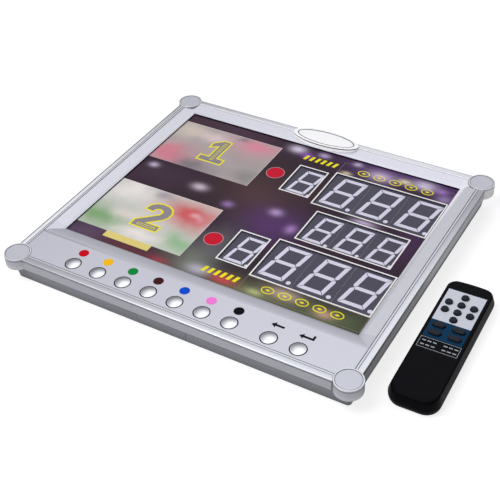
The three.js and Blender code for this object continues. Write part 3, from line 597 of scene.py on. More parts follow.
black_plastic = Finish("black_plastic", Specular_IOR_Level=0.45).surface(
    "#1b1c20", "#131418", (0.35, 0.55), 0.4, 0.02, cloud=8, rubbed="#33343a", edge=0.3,
)
wear(dressed("power_inlet", black_plastic, 0.3), "black_plastic", case, "power_inlet")
pin_plating = Finish("pin_plating", Metallic=1.0).surface(
    "#d9d4c4", "#b5ae9a", (0.18, 0.32), 0.3, 0.004, cloud=2, stretch=(0.1, 1, 1),
)
pin_radius, pin_length, pin_foot, inlet_axis_z = 1.0, 8.6, 9.9, 10.0
inlet_low, inlet_high = box_of("power_inlet")
pin_place = (inlet_low.x + pin_foot, (inlet_low.y + inlet_high.y) / 2, inlet_axis_z)
pin = turned("inlet_pin", round_outline(
    (0, 0), (pin_radius, 0), (pin_radius, pin_length - 0.2, 0.8), (0, pin_length),
), (0, 0, 0), 24, pin_plating)
pin.data.transform(Matrix.Translation(metres(pin_place)) @ Matrix.Rotation(math.radians(-90), 4, "Y"))
wear(pin, "key_plating", case)


# Frame rails
# Four lengths of one hollow aluminium section, drawn along their length, with a round lip outside,
# a shadow line below it and a V groove on top. Their ends are hollowed to fit round the posts.
def between(wire, low, high):
    """1 between two values, 0 outside them."""
    return (wire > low) * (wire < high)


post_line_x, post_line_y, right_rail_x = 204.0, 176.8, 190.0
# Across the section, outwards from the line through the posts: the gap at the bezel, the inner ledge, the
# groove, the flat band and the lip. Then heights: the shadow line, the lip's underside and the top
gap_out, ledge_in, ledge_out, groove_out, groove_half = -0.76, -0.9, 1.3, 1.7, 0.38
band_out, lip_out, lip_face = 2.3, 7.5, 8.3
shadow_z, under_lip_z, groove_z, lip_z = 31.6, 32.7, 32.8, 33.1
ledge_z, gap_z, rail_top_z = 33.4, 33.55, 33.7
# The back and left rails are the far ones. Their bands have a painted highlight, and their outer edges
# painted shade from a certain place outwards. Only the back rail's ledge has a painted highlight, and less
# painted shade in its groove and gap
for way, stretch, post_line, band_highlight, ledge_highlight, far_edge, edge_shade, rails in (
    ("along_x", (0.03, 1, 1), post_line_y, 0.2, 1.0, 8.2, 0.3, ("rail_front", "rail_back")),
    ("along_y", (1, 0.03, 1), post_line_x, 0.5, 0.0, 6.3, 0.85, ("rail_left", "rail_right")),
):
    anodised = Finish(f"rail_aluminium_{way}", Metallic=0.7, Specular_IOR_Level=0.5).surface(
        "#e4e5eb", "#d6d7de", (0.24, 0.34), 0.22, 0.003, cloud=60, stretch=stretch,
    )
    rail_x, rail_y, rail_z = anodised.axes()
    side = rail_y if way == "along_x" else rail_x
    outward = abs(side) - post_line
    far = side > 0 if way == "along_x" else side < 0
    lit = far * ledge_highlight
    at_right = rail_x > right_rail_x
    shade_to_front = (rail_y / -post_line_y).clamp() * at_right
    below_lip = (outward > lip_face) * (rail_z < under_lip_z)
    right_lip_shade = at_right * (outward > lip_face - 0.3) * (rail_z > under_lip_z - 0.1)
    in_groove = (abs(outward - groove_out) < groove_half) * between(rail_z, groove_z, rail_top_z)
    in_gap = (outward < gap_out) * (rail_z < gap_z)
    # Painted shade on the wall below the lip and at its right end, painted highlights on the far bands and
    # the near lips, painted shade on the far outer edges, in the groove and in the gap, and a painted
    # highlight on the ledge
    anodised.tint(
        (below_lip * (0.22 + (rail_z > shadow_z) * 0.5), "#6f7078"),
        (below_lip * shade_to_front * 0.75 + right_lip_shade * 0.5, "#3c3d45"),
        (between(outward, band_out, lip_out + 0.1) * far * band_highlight, "#ffffff"),
        ((outward > lip_out) * (rail_z > lip_z) * (1 - far), "#ffffff"),
        ((outward > far_edge) * far * edge_shade, "#6f7078"),
        (in_groove * (0.4 - lit * 0.3) + in_gap * (0.7 - lit * 0.4), "#2c2d36"),
        (between(outward, ledge_in, ledge_out) * (rail_z > ledge_z) * lit, "#ffffff"),
    )
    for rail in rails:
        wear(dressed(rail, anodised, 0.18), "rail_aluminium", case, rail)


# Corner posts
# Turned caps with a raised rim round a flat disc, painted silver. Two tenons under each cap go into
# the ends of its rails, and a screw comes up into it from the tray.
post_radius, post_low, post_top = 15.4, 19.3, 34.3
rim_width, rim_groove, groove_depth, disc_depth = 1.6, 0.6, 1.0, 0.35
rim_inner = post_radius - rim_width
disc_radius = rim_inner - rim_groove
tenon_length, tenon_width, tenon_height = 22, 5.3, 9.7
tenon_out, tenon_aside, tenon_z = 16.5, 3.95, 27.05
post_silver = Finish("post_silver", Metallic=0.6, Specular_IOR_Level=0.5).surface(
    "#d8d9e1", "#c9cad3", (0.3, 0.42), 0.25, 0.008, cloud=14,
)
# Painted light makes it paler on the rim, at the foot and on the wall of the back right post, and painted
# shade makes it darker under the rim and in the groove inside it
post_x, post_y, post_z = post_silver.axes()
from_axis = ((abs(post_x) - post_line_x) ** 2 + (abs(post_y) - post_line_y) ** 2) ** 0.5
below_top = post_top - post_z
on_side = from_axis > post_radius - 0.3
under_rim = between(below_top, 0.9, 3.4) * on_side
in_hairline = abs(from_axis - (rim_inner - rim_groove / 2)) < rim_groove / 2 + 0.02
post_silver.tint(
    ((from_axis > rim_inner - 0.1) * (below_top < 0.75) * 0.6, "#ffffff"),
    (under_rim * 0.4 - (below_top < 1.5) * under_rim * 0.2, "#55565f"),
    ((below_top > 9) * (from_axis > post_radius - 3) * 0.3, "#ffffff"),
    ((post_x > 0) * (post_y > 0) * (below_top > 2) * on_side * 0.9, "#ffffff"),
    (in_hairline * between(below_top, 0.4, 1.2) * 0.5, "#3a3b44"),
)
for across, side_x in (("left", -1), ("right", 1)):
    for along, side_y in (("front", -1), ("back", 1)):
        node = f"post_{along}_{across}"
        low, high = box_of(node)
        centre_x = (high.x if side_x > 0 else low.x) - side_x * post_radius
        centre_y = (high.y if side_y > 0 else low.y) - side_y * post_radius
        cap = turned(f"{node}_piece", round_outline(
            (0, post_low), (post_radius, post_low, 2.2), (post_radius, post_top, 0.7),
            (rim_inner, post_top, 0.3), (rim_inner, post_top - groove_depth),
            (disc_radius, post_top - groove_depth), (disc_radius, post_top - disc_depth, 0.3),
            (0, post_top - disc_depth),
        ), (centre_x, centre_y, 0), 96, post_silver)
        with edited(cap.data) as shape:
            for into_x, into_y in ((-side_x, 0), (0, -side_y)):
                size = (tenon_length, tenon_width) if into_x else (tenon_width, tenon_length)
                middle = (
                    centre_x + into_x * tenon_out + (0 if into_x else side_x * tenon_aside),
                    centre_y + into_y * tenon_out + (0 if into_y else side_y * tenon_aside), tenon_z,
                )
                tenon = bmesh.ops.create_cube(shape, size=mm)["verts"]
                bmesh.ops.transform(shape, verts=tenon, matrix=(
                    Matrix.Translation(metres(middle)) @ Matrix.Diagonal((*size, tenon_height, 1))
                ))
                bmesh.ops.bevel(
                    shape, geom=list({edge for corner in tenon for edge in corner.link_edges}),
                    offset=0.4 * mm, segments=2, affect="EDGES", profile=0.5,
                )
        wear(cap, "post_silver", case, node)


# Bezel
# One moulded frame, painted silver: a dish that falls to the window, and a flat strip in front for the
# keys. It lies on the rails' ledges. The edge of its window is black, with a thin black seal to the sheet.
window = (-185.0, 185.0, -115.7, 157.5)
bezel_edge = (-202.7, 202.7, -131.0, 175.5)
bezel_top_z, dish_depth, window_edge_z = 33.6, 2.86, 30.74
sheet_z, strip_z, key_row_y = 29.1, bezel_top_z, -163.3


def built(name, parts, finish):
    """One mesh of several closed shapes, with its faces turned outwards."""
    corners, faces = [], []
    for part_corners, part_faces in parts:
        faces += [tuple(i + len(corners) for i in face) for face in part_faces]
        corners += [metres(corner) for corner in part_corners]
    mesh = bpy.data.meshes.new(name)
    mesh.from_pydata(corners, [], faces)
    with edited(mesh) as shape:
        bmesh.ops.remove_doubles(shape, verts=shape.verts, dist=0.0005 * mm)
        bmesh.ops.recalc_face_normals(shape, faces=shape.faces)
    mesh.materials.append(finish.material)
    return link(name, mesh)


def box_points(left, right, low, high):
    return [(left, low), (right, low), (right, high), (left, high)]


def skin(rings):
    """A closed shape through a stack of rings, as corners and faces."""
    count = len(rings[0])
    corners = [corner for ring in rings for corner in ring]
    faces = [tuple(reversed(range(count))), tuple(range(len(corners) - count, len(corners)))]
    for start in range(0, len(corners) - count, count):
        for i in range(count):
            j = (i + 1) % count
            faces.append((start + i, start + j, start + j + count, start + i + count))
    return corners, faces


# The dish starts sharply at the rails and softly at the strip: each ring has a way in for both and its fall
dish_start, dish_bend, dish_steps, dish_slope, dish_end, rail_start = -0.2, 0.72, 14, 1.143, 1.02, -0.03
dish_rings = []
for step in range(dish_steps + 1):
    way = (dish_bend - dish_start) * step / dish_steps
    bent = (dish_bend - dish_start) / 3 * (1 - (1 - step / dish_steps) ** 3)
    dish_rings.append((dish_start + way, dish_slope * (way - bent)))
deepest = dish_rings[-1][1] + dish_slope * (dish_end - dish_bend)
dish_rings = [
    (way, fall / deepest * (dish_end - rail_start) + rail_start, fall)
    for way, fall in [*dish_rings, (dish_end, deepest)]
]


def dish_ring(strip_way, rail_way, height):
    """The dish's outline at its shares of the way from the bezel's edge to its window."""
    ways = (rail_way, rail_way, strip_way, rail_way)
    edges = [edge + (inner - edge) * way for edge, inner, way in zip(bezel_edge, window, ways)]
    return [(x, y, height) for x, y in box_points(*edges)]


def on_mitre(start, end):
    """Whether an edge runs slantwise at a corner of the window, where two sides of the dish meet."""
    slanting = min(abs(start.x - end.x), abs(start.y - end.y)) > 0.04
    beside = min(abs(start.x), abs(end.x)) > window[1] - 1
    in_front = bezel_edge[2] - 5 < min(start.y, end.y) < window[2] + 5
    behind = max(start.y, end.y) > window[3] - 0.5
    return slanting and beside and (in_front or behind)


bezel_silver = Finish("bezel_silver", Metallic=0.7, Specular_IOR_Level=0.5).surface(
    "#dddde5", "#d2d2dc", (0.28, 0.36), 0.3, 0.006, cloud=70, rubbed="#eeeff3", edge=0.4,
)
# Painted light makes it paler away from the strip, and more on the right. It is black on the window's edge,
# and painted shade darkens the key holes and the gap at the rails
bezel_x, bezel_y, bezel_z = bezel_silver.axes()
dish_front_y, hole_reach_y, hole_reach_x = -112, 9.4, 155
in_window = (
    (abs(bezel_x) < window[1] + 0.1) * between(bezel_y, window[2] - 0.1, window[3] + 0.1)
    * (bezel_z < window_edge_z - 0.12)
)
in_key_hole = (
    (abs(bezel_y - key_row_y) < hole_reach_y) * (abs(bezel_x) < hole_reach_x)
    * (bezel_z < bezel_top_z - 0.12)
)
at_rail = (abs(bezel_x) > bezel_edge[1] - 0.04) + (abs(bezel_y) > bezel_edge[3] - 0.04)
bezel_silver.tint(
    ((bezel_y > dish_front_y) * (0.14 + (bezel_x > window[1] - 1) * 0.14), "#ffffff"),
    (in_window, "#0c0c10"),
    ((in_key_hole + at_rail * (bezel_z < bezel_top_z - 0.3)).clamp(), "#25262d"),
)
dish_cutter = built("dish_cutter", [skin([
    dish_ring(*ways, bezel_top_z + 0.004 - fall * dish_depth) for *ways, fall in reversed(dish_rings)
] + [dish_ring(*dish_rings[0][:2], bezel_top_z + 5)])], bezel_silver)
bezel = dressed("bezel_panel", bezel_silver, 0.2, cutters=[dish_cutter], mitred=on_mitre)
bpy.data.objects.remove(dish_cutter)
wear(bezel, "bezel_silver", case, "bezel_panel")


def ribbon(points, width, low, high):
    """A closed line of one width round a polygon that turns left, as corners and faces."""
    count = len(points)
    loops = []
    for side in (0, width):
        loop = []
        for i, here in enumerate(points):
            before, after = points[i - 1], points[(i + 1) % count]
            into = Vector((here[0] - before[0], here[1] - before[1])).normalized()
            onto = Vector((after[0] - here[0], after[1] - here[1])).normalized()
            out = Vector((into.y + onto.y, -into.x - onto.x)).normalized()
            reach = side / max(out.dot(Vector((into.y, -into.x))), 0.3)
            loop.append((here[0] + out.x * reach, here[1] + out.y * reach))
        loops.append(loop)
    corners = [(x, y, z) for z in (low, high) for loop in loops for x, y in loop]
    faces = []
    for i in range(count):
        j = (i + 1) % count
        inner_low, outer_low, inner_high, outer_high = (
            (k * count + i, k * count + j) for k in range(4)
        )
        faces += [
            (inner_low[0], inner_low[1], outer_low[1], outer_low[0]),
            (inner_high[0], outer_high[0], outer_high[1], inner_high[1]),
            (outer_low[0], outer_low[1], outer_high[1], outer_high[0]),
            (inner_low[1], inner_low[0], inner_high[0], inner_high[1]),
        ]
    return corners, faces


def slab(points, low, high):
    """A flat plate of a polygon's shape, as corners and faces."""
    return skin([[(x, y, z) for x, y in points] for z in (low, high)])


seal_inset, seal_width = 0.3, 0.28
seal_rubber = Finish("seal_rubber", Specular_IOR_Level=0.3).surface(
    "#121216", "#0a0a0d", (0.5, 0.7), 0.5, 0.02, cloud=12,
)
seal_line = box_points(*(edge + seal_inset * side for edge, side in zip(window, (1, -1, 1, -1))))
wear(built("window_seal", [
    ribbon(seal_line, seal_width, sheet_z, window_edge_z - 0.25),
], seal_rubber), "black_plastic", case)


# Keys
# Nine domed caps in bright plating. Each stands through a round hole in the strip, is held below it by
# its flange, and its stem presses a switch on the key board.
key_radius, key_flange, key_stem = 8.35, 9.95, 2.5
flange_low_z, flange_high_z, key_rim_z, key_crown = 29.2, 30.7, 33.7, 1.4
plating = Finish("key_plating", Metallic=1.0).surface(
    "#f2f3f6", "#e2e4e9", (0.1, 0.16), 0.35, 0.002, cloud=5,
)
# Below its rim a cap is painted dark, a painted reflection of its dark hole and the shade in it
plating.tint((plating.axes()[2] < key_rim_z - 0.35, "#2a2b33"))
dome_radius = key_radius - 0.5
dome = [
    (dome_radius * share, key_rim_z + key_crown * (1 - share * share))
    for share in (0.96, 0.88, 0.78, 0.66, 0.52, 0.36, 0.18, 0.0)
]
for name in ("red", "yellow", "green", "brown", "blue", "pink", "black", "back", "confirm"):
    low, high = box_of(f"key_{name}")
    cap = turned(f"key_{name}_piece", round_outline(
        (0, low.z), (key_stem, low.z), (key_stem, flange_low_z, 0.3), (key_flange, flange_low_z, 0.2),
        (key_flange, flange_high_z, 0.2), (key_radius, flange_high_z), (key_radius, key_rim_z, 0.6), *dome,
    ), ((low.x + high.x) / 2, (low.y + high.y) / 2, 0), 72, plating)
    wear(cap, "key_plating", f"key_{name}", f"key_{name}")


# Prints on the strip
# Seven dots of ink in the balls' colours above the first keys, and a plain black arrow above each of
# the last two.
ink_depth = 0.06
first_key_x, key_pitch, dot_y, dot_radius = -136.2, 33.3, -144.0, 5.75
back_key_x, confirm_key_x = 109.3, 142.6
rowing = Growth("rowing", Count=int, First=tuple, Step=tuple, Finish=bpy.types.Material)
row_places = rowing.line(*(rowing.given[label] for label in ("Count", "First", "Step")))
row_copies = rowing.add("GeometryNodeStoreNamedAttribute", {"domain": "INSTANCE", "data_type": "FLOAT"}, {
    "Geometry": rowing.copies(row_places, rowing.start), "Name": "number",
    "Value": rowing.add("GeometryNodeInputIndex") / rowing.given["Count"],
})
rowing.end(row_copies, ["Finish"])


def row(name, shape, count, first, step, finish):
    """Copies of one small shape in a row. Each holds its number as a share of the count."""
    stamp = built(f"{name}_stamp", shape, finish)
    made = rowing.grow(
        name, stamp.data.copy(), Count=count, First=metres(first), Step=metres(step),
        Finish=finish.material,
    )
    bpy.data.objects.remove(stamp)
    return made


def round_points(radius_x, radius_y, sides=40, x=0.0, y=0.0):
    turns = [2 * math.pi * i / sides for i in range(sides)]
    return [(x + radius_x * math.cos(a), y + radius_y * math.sin(a)) for a in turns]


def ink_of(name, code, darker):
    return Finish(name, Specular_IOR_Level=0.08).surface(code, darker, (0.35, 0.55), 0.3, 0.01, cloud=6)


def printed(name, parts, finish):
    """Plates and lines of ink or film on the strip or the sheet."""
    wear(built(name, parts, finish), "printed_sheet", case)


def shifted(points, x, y):
    return [(point_x + x, point_y + y) for point_x, point_y in points]


dot_ink = Finish("dot_ink", Specular_IOR_Level=0.04)
dot_ink.gloss((0.3, 0.5), 0.3, 0.01, cloud=5)
dot_codes = ("#cf0520", "#ffc216", "#0f8a3c", "#421b1e", "#0c4fd2", "#ff84e0", "#0b0b12")
dot_ink.lay(dot_ink.add("ShaderNodeValToRGB", {
    "interpolation": "CONSTANT",
    "stops": [(max(i - 0.5, 0) / len(dot_codes), paint(code)) for i, code in enumerate(dot_codes)],
}, {"Fac": dot_ink.add("ShaderNodeAttribute", {"attribute_name": "number"}, output="Fac")}))
dot_ink.tint((dot_ink.noise(0.5) * 0.04, "#101014"))
dot = slab(round_points(dot_radius, dot_radius), strip_z, strip_z + ink_depth)
wear(row(
    "key_dots", [dot], len(dot_codes), (first_key_x, dot_y, 0), (key_pitch, 0, 0), dot_ink,
), "printed_sheet", case)

black_ink = ink_of("black_ink", "#17171d", "#0e0e13")
back_arrow = [(-7.5, 0), (-2.2, -3.8), (-2.2, -1.4), (7.5, -1.4), (7.5, 1.4), (-2.2, 1.4), (-2.2, 3.8)]
enter_arrow = [
    (-8.5, -1.4), (-3.4, -5), (-3.4, -2.8), (8.5, -2.8), (8.5, 4), (5.9, 4), (5.9, 0), (-3.4, 0),
    (-3.4, 2.2),
]
printed("key_arrows", [
    slab(shifted(points, x, dot_y), strip_z, strip_z + ink_depth)
    for points, x in ((back_arrow, back_key_x), (enter_arrow, confirm_key_x))
], black_ink)


# Printed sheet
# A clear sheet under the bezel, printed with soft lights on a dark ground of plum, brown and olive.
# It has a window over each display, with a pale line round it, and lies on the display modules' faces.
def repaint(node, finish):
    """A CAD node whose shape is right stays, with a better material in its slots."""
    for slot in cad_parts[node].material_slots:
        slot.material = finish.material


def drifted(finish, wire, grain, reach):
    """A place that is shifted by clouds, up to half the reach each way."""
    return wire + finish.noise(grain) * reach - reach / 2


def blur(finish, x, y, patches):
    """Lays soft patches over the colour, by place, half sizes, share and colour. At its half size a patch
    has fallen to a fifth of its share."""
    for centre_x, centre_y, half_x, half_y, share, code in patches:
        away = ((x - centre_x) / half_x) ** 2 + ((y - centre_y) / half_y) ** 2
        finish.tint((away.math("EXPONENT", away * -1.6) * share, code))


ground = Finish("printed_ground", Specular_IOR_Level=0.12)
ground_x, ground_y, _ = ground.axes()
ground.lay(ground.blend(ground.noise(70), paint("#201520"), paint("#382432")))
blur(ground, drifted(ground, ground_x, 55, 40), drifted(ground, ground_y, 48, 30), (
    (-120, 150, 110, 40, 0.75, "#4d3345"), (-20, 40, 70, 60, 0.8, "#54393b"),
    (-150, 26, 70, 30, 0.7, "#463044"), (20, -2, 50, 42, 0.75, "#5c3672"),
    (178, 46, 30, 60, 0.7, "#4b2a55"), (120, 150, 100, 24, 0.85, "#5f3c7a"),
    (-170, -112, 50, 30, 0.85, "#5d4a66"), (-100, -116, 60, 26, 0.9, "#62303c"),
    (-30, -100, 34, 40, 0.8, "#7d8377"), (60, -112, 70, 26, 0.85, "#6d7350"),
    (150, -108, 60, 26, 0.85, "#5c6a48"), (-20, -60, 26, 40, 0.6, "#6d6a72"),
))
blur(ground, ground_x, ground_y, (
    (-24, 147, 13, 9, 0.9, "#e3d6f0"), (12, 149, 9, 6, 0.75, "#cdb6e4"),
    (57, 150, 7, 5, 0.7, "#dccbef"), (92, 140, 20, 12, 0.8, "#d9c4ea"),
    (146, 146, 17, 10, 0.85, "#e6dcf4"), (176, 131, 12, 10, 0.6, "#b59ad6"),
    (-168, 38, 8, 6, 0.75, "#d5c4e2"), (-92, 24, 12, 8, 0.8, "#dfccdc"),
    (-44, 10, 9, 7, 0.6, "#b48bd0"), (14, 22, 10, 8, 0.7, "#caa6e2"),
    (112, 50, 18, 5, 0.75, "#dfc6ee"), (44, 2, 8, 10, 0.6, "#c79ae0"),
    (-12, -104, 18, 10, 0.6, "#d7d2e4"), (90, -97, 24, 10, 0.6, "#e2c8b8"),
    (140, -104, 14, 8, 0.6, "#e6b6a2"), (20, -106, 18, 9, 0.8, "#d2414c"),
    (122, 143, 10, 6, 0.8, "#f4e9c4"), (52, 128, 8, 4, 0.7, "#f0dfb4"),
    (-60, -112, 16, 8, 0.7, "#a63a48"), (-8, 140, 10, 7, 0.8, "#9a5fc4"),
    (168, 144, 9, 6, 0.7, "#b484dc"), (60, -108, 12, 6, 0.7, "#c9d08e"),
))
ground.put("Roughness", ground.noise(30, 3.0) * 0.12 + 0.22)
ground.relief(ground.noise(0.6), 0.004)
repaint("print_sheet", ground)


# Pale panels and prints on the sheet
# Two panels of pale translucent film at the left, with a numeral in a yellow line on each. Everything else
# is ink: lines round the display windows, rings round the lights, a yellow bar and plain yellow marks.
film_high = sheet_z + 0.05
ink_low, ink_high = sheet_z, sheet_z + 0.1
numeral_line, inner_line, window_line, ring_line, field_line, oval_line = 2.0, 0.7, 1.7, 0.8, 0.4, 1.2
for name, (left, right, low, high), base, shade, patches in (
    ("upper_panel", (-184.6, -42.4, 51.0, 140.2), "#bdb2b0", "#a1989a", (
        (-72, 126, 40, 22, 1.0, "#e08da0"), (-164, 68, 44, 24, 0.95, "#d97f91"),
        (-172, 126, 40, 20, 0.85, "#d8ccbd"), (-122, 60, 30, 16, 0.85, "#77737a"),
        (-56, 64, 30, 22, 0.75, "#8b8785"), (-132, 124, 26, 12, 0.7, "#efd6d8"),
        (-96, 132, 12, 8, 0.8, "#847d84"),
    )),
    ("lower_panel", (-184.6, -42.4, -95.0, -2.5), "#e2dcd8", "#c3c6c0", (
        (-166, -76, 44, 28, 1.0, "#7fa673"), (-160, -18, 40, 20, 0.85, "#f2ebe8"),
        (-70, -28, 44, 30, 1.0, "#d02233"), (-54, -80, 34, 24, 0.95, "#93bb90"),
        (-118, -12, 24, 11, 0.8, "#9b959d"), (-110, -86, 40, 12, 0.85, "#f7eeea"),
        (-64, -28, 14, 8, 0.7, "#f3c3c6"), (-140, -60, 20, 12, 0.7, "#f0e2dc"),
    )),
):
    film = Finish(f"{name}_film", Specular_IOR_Level=0.15)
    film_x, film_y, _ = film.axes()
    film.lay(film.blend(film.noise(36, 3.0), paint(base), paint(shade)))
    blur(film, drifted(film, film_x, 40, 44), drifted(film, film_y, 34, 34), patches)
    # Painted highlight: the film is paler along its top and right edges
    film.tint((((film_x > right - 0.8) + (film_y > high - 0.8)).clamp() * 0.4, "#fff6f4"))
    film.put("Roughness", film.noise(20, 3.0) * 0.15 + 0.3)
    film.relief(film.noise(0.5), 0.004)
    printed(name, [slab(box_points(left, right, low, high), sheet_z, film_high)], film)

yellow_ink = ink_of("yellow_ink", "#fff22c", "#f8e41c")
pale_ink = ink_of("pale_ink", "#ffffff", "#fbf7f4")
film_ink = ink_of("film_ink", "#989397", "#8b868a")
numeral_one = [
    (-16, -23), (16, -23), (16, -14.5), (6, -14.5), (6, 23), (-3, 23), (-14, 14.5), (-14, 6), (-4, 11.5),
    (-4, -14.5), (-16, -14.5),
]
numeral_two = [
    (-17, -23), (17, -23), (17, -14.5), (-3.5, -14.5), (12.5, -1), (16, 5), (16.2, 12), (13, 18.5),
    (6.6, 22.4), (-1.5, 23.4), (-9.5, 21.4), (-15, 16.4), (-16.6, 9), (-7.4, 8), (-6, 12.4), (-1.6, 15),
    (3.6, 14), (6.2, 10), (4.6, 4.4), (-17, -14),
]
fills, lines = [], []
for points, inner, x, y in (
    (numeral_one, box_points(0, 2, -18.6, 18.6), -111.5, 97),
    (numeral_two, box_points(-10, 13, -19.8, -17.6), -108, -49),
):
    placed = shifted(points, x, y)
    fills.append(slab(placed, film_high, film_high + 0.03))
    lines.append(ribbon(placed, numeral_line, film_high, film_high + 0.1))
    lines.append(ribbon(shifted(inner, x, y), inner_line, film_high, film_high + 0.1))
printed("numeral_fills", fills, film_ink)
printed("numeral_lines", lines, yellow_ink)

bar_ink = ink_of("bar_ink", "#ead98a", "#dfcb74")
yellow_bar = slab(box_points(-141.5, -79.7, -104.6, -94.6), sheet_z, sheet_z + 0.08)
printed("yellow_bar", [yellow_bar], bar_ink)

display_windows = (
    (42.5, 182.2, 57.3, 123.0), (42.5, 182.2, -85.0, -19.3), (56.3, 169.6, -8.3, 44.6),
    (-4.2, 31.9, 64.4, 117.3), (-4.2, 31.9, -77.9, -25.0),
)
printed("window_lines", [
    ribbon(box_points(*edges), window_line, ink_low, ink_high) for edges in display_windows
], pale_ink)
light_places, ring_radius = ((-25.1, 90.3), (-25.1, -52.0)), 10.65
ring_ink = ink_of("ring_ink", "#e6a7ae", "#d68f98")
printed("light_rings", [
    ribbon(round_points(ring_radius, ring_radius, 64, x, y), ring_line, ink_low, ink_high)
    for x, y in light_places
], ring_ink)
outline_ink = ink_of("outline_ink", "#a58f8c", "#8d7a78")
mark_fields = ((41.5, 183.2, 125.3, 147.2), (41.5, 183.2, -110.8, -87.6))
printed("field_lines", [
    ribbon(box_points(*edges), field_line, ink_low, ink_high - 0.02) for edges in mark_fields
], outline_ink)

oval = [
    ribbon(round_points(6.4, 4.2, 36), oval_line, ink_low, ink_high),
    slab(round_points(2.4, 1.3, 24), ink_low, ink_high),
]
dash_height, dash_lean = 9, 2.25
dash = [slab([
    (-2.4, 0), (1.6, 0), (1.6 + dash_lean, dash_height), (-2.4 + dash_lean, dash_height),
], ink_low, ink_high)]
for name, shape, count, x, y, step in (
    ("upper_marks", oval, 5, 71.5, 136.0, 20.4), ("lower_marks", oval, 5, 71.5, -99.0, 20.4),
    ("upper_tally", dash, 6, -7.0, 131.5, 7.9), ("lower_tally", dash, 6, -7.0, -104.0, 7.9),
):
    wear(row(name, shape, count, (x, y, 0), (step, 0, 0), yellow_ink), "printed_sheet", case)


# Display modules
# Each is a pale plastic housing filled with resin, with a dark film on its face and seven milky bars and a
# point that stand a little proud of it. They stand side by side on the display board.
module_face_z, module_depth, bar_relief, digit_slant = 27.5, 12.0, 0.3, math.radians(8.8)
module_housing = Finish("module_housing", Specular_IOR_Level=0.4).surface(
    "#8b8b94", "#7b7b85", (0.45, 0.6), 0.5, 0.02, cloud=10,
)
module_film = Finish("module_film", Specular_IOR_Level=0.35).surface(
    "#4d4a5b", "#43404f", (0.38, 0.55), 0.35, 0.012, cloud=16,
)
milky_resin = Finish("milky_resin", Specular_IOR_Level=0.45).surface(
    "#e6e4f6", "#dad7eb", (0.3, 0.45), 0.6, 0.02, cloud=6, rubbed="#faf9ff", edge=0.4,
)

segments = Growth(
    "segments", Count=int, Pitch=float, Height=float, Depth=float, Relief=float, Digit_Width=float,
    Digit_Height=float, Bar=float, Gap=float, Slant=float, Point=float, Point_Clearance=float,
    Shift=tuple, Place=tuple, Housing=bpy.types.Material, Film=bpy.types.Material, Resin=bpy.types.Material,
)
given = segments.given


def polygon(corners, radius):
    return segments.add("GeometryNodeMeshCircle", {"fill_type": "NGON"}, {
        "Vertices": corners, "Radius": radius,
    })


def moved(geometry, x, y, z, selection=None):
    """Geometry whose corners, or only the selected ones, are set at new places."""
    sockets = {"Geometry": geometry, "Position": segments.vector(x, y, z)}
    if selection is not None:
        sockets["Selection"] = selection
    return segments.add("GeometryNodeSetPosition", {}, sockets)


def laid(geometry, shift):
    return segments.add("GeometryNodeTransform", {}, {"Geometry": geometry, "Translation": shift})


def corner_place():
    return segments.split(segments.add("GeometryNodeInputPosition"))


def raised(face, height, edge, draw_in):
    """A closed plate on a flat face. Its upper edge is drawn in over the last part of its height."""
    wall = segments.add("GeometryNodeExtrudeMesh", {}, {
        "Mesh": face, "Offset Scale": height - edge, "Individual": False,
    })
    edged = segments.add("GeometryNodeExtrudeMesh", {}, {
        "Mesh": wall, "Selection": wall.other("Top"), "Offset Scale": edge, "Individual": False,
    })
    x, y, z = corner_place()
    top = moved(edged, *draw_in(x, y), z, selection=edged.other("Top"))
    under = segments.add("GeometryNodeFlipFaces", {}, {"Mesh": face})
    return segments.merged(segments.joined(under, top), 0.001)


def sign(wire):
    return wire.math("SIGN", wire)


def bar_of(length, mitred=None):
    """One bar along X, made from a hexagon with a tip at each end. Its face is chamfered, and the corners
    that the test calls mitred are run out to meet their neighbour."""
    half, thick, edge = length / 2, given["Bar"] / 2, given["Relief"] * 0.4
    x, y, _ = corner_place()
    tip = abs(x) > 0.75
    away = abs(y) > 0.1
    reach = half - thick * (1 - tip)
    if mitred:
        reach = reach + thick * mitred(x, y) * away * 2
    flat = moved(polygon(6, 1.0), sign(x) * reach, sign(y) * thick * away, 0.0)

    def draw_in(x, y):
        shoulder = abs(y) > 0.00001
        sharp = abs(x) > half + thick / 2
        return x - sign(x) * edge * (1.414 - shoulder + sharp * 2), y - sign(y) * edge * shoulder

    return raised(flat, given["Relief"], edge, draw_in)


def paired(bar, x, y, angle):
    """A bar at a place, and its fellow opposite, half a turn on."""
    places = segments.line(2, segments.vector(x, y), segments.vector(x * -2, y * -2))
    turn = segments.add("GeometryNodeInputIndex") * math.pi + angle
    return segments.copies(places, bar, Rotation=segments.vector(z=turn))


reach_x = given["Digit_Width"] - given["Bar"]
reach_y = (given["Digit_Height"] - given["Bar"]) / 2
level_length = reach_x - given["Gap"] * 2
upright_length = reach_y - given["Gap"] * 2
bars = segments.add("GeometryNodeRealizeInstances", {}, {"Geometry": segments.joined(
    paired(bar_of(level_length, lambda x, y: y > 0), 0.0, reach_y, 0),
    bar_of(level_length),
    paired(bar_of(upright_length, lambda x, y: (y < 0) * (x > 0)), reach_x / 2, reach_y / 2, math.pi / 2),
    paired(bar_of(upright_length, lambda x, y: (y > 0) * (x > 0)), reach_x / -2, reach_y / 2, math.pi / 2),
)})
bar_x, bar_y, bar_z = corner_place()
bars = moved(bars, bar_x + bar_y * given["Slant"], bar_y, bar_z)
point_edge = given["Relief"] * 0.4
point_share = 1 - point_edge / given["Point"]
point = raised(
    polygon(32, given["Point"]), given["Relief"], point_edge,
    lambda x, y: (x * point_share, y * point_share),
)
point = laid(point, segments.vector(
    given["Digit_Width"] / 2 - given["Slant"] * given["Digit_Height"] / 2
    + given["Point"] + given["Point_Clearance"],
    given["Point"] * 0.35 - given["Digit_Height"] / 2,
))


def plate(width, height, low, high, edge):
    """A rectangular block with a chamfered upper edge."""
    face = segments.grid(width, height, 2, 2)
    made = raised(face, high - low, edge, lambda x, y: (x - sign(x) * edge, y - sign(y) * edge))
    return laid(made, segments.vector(z=low))


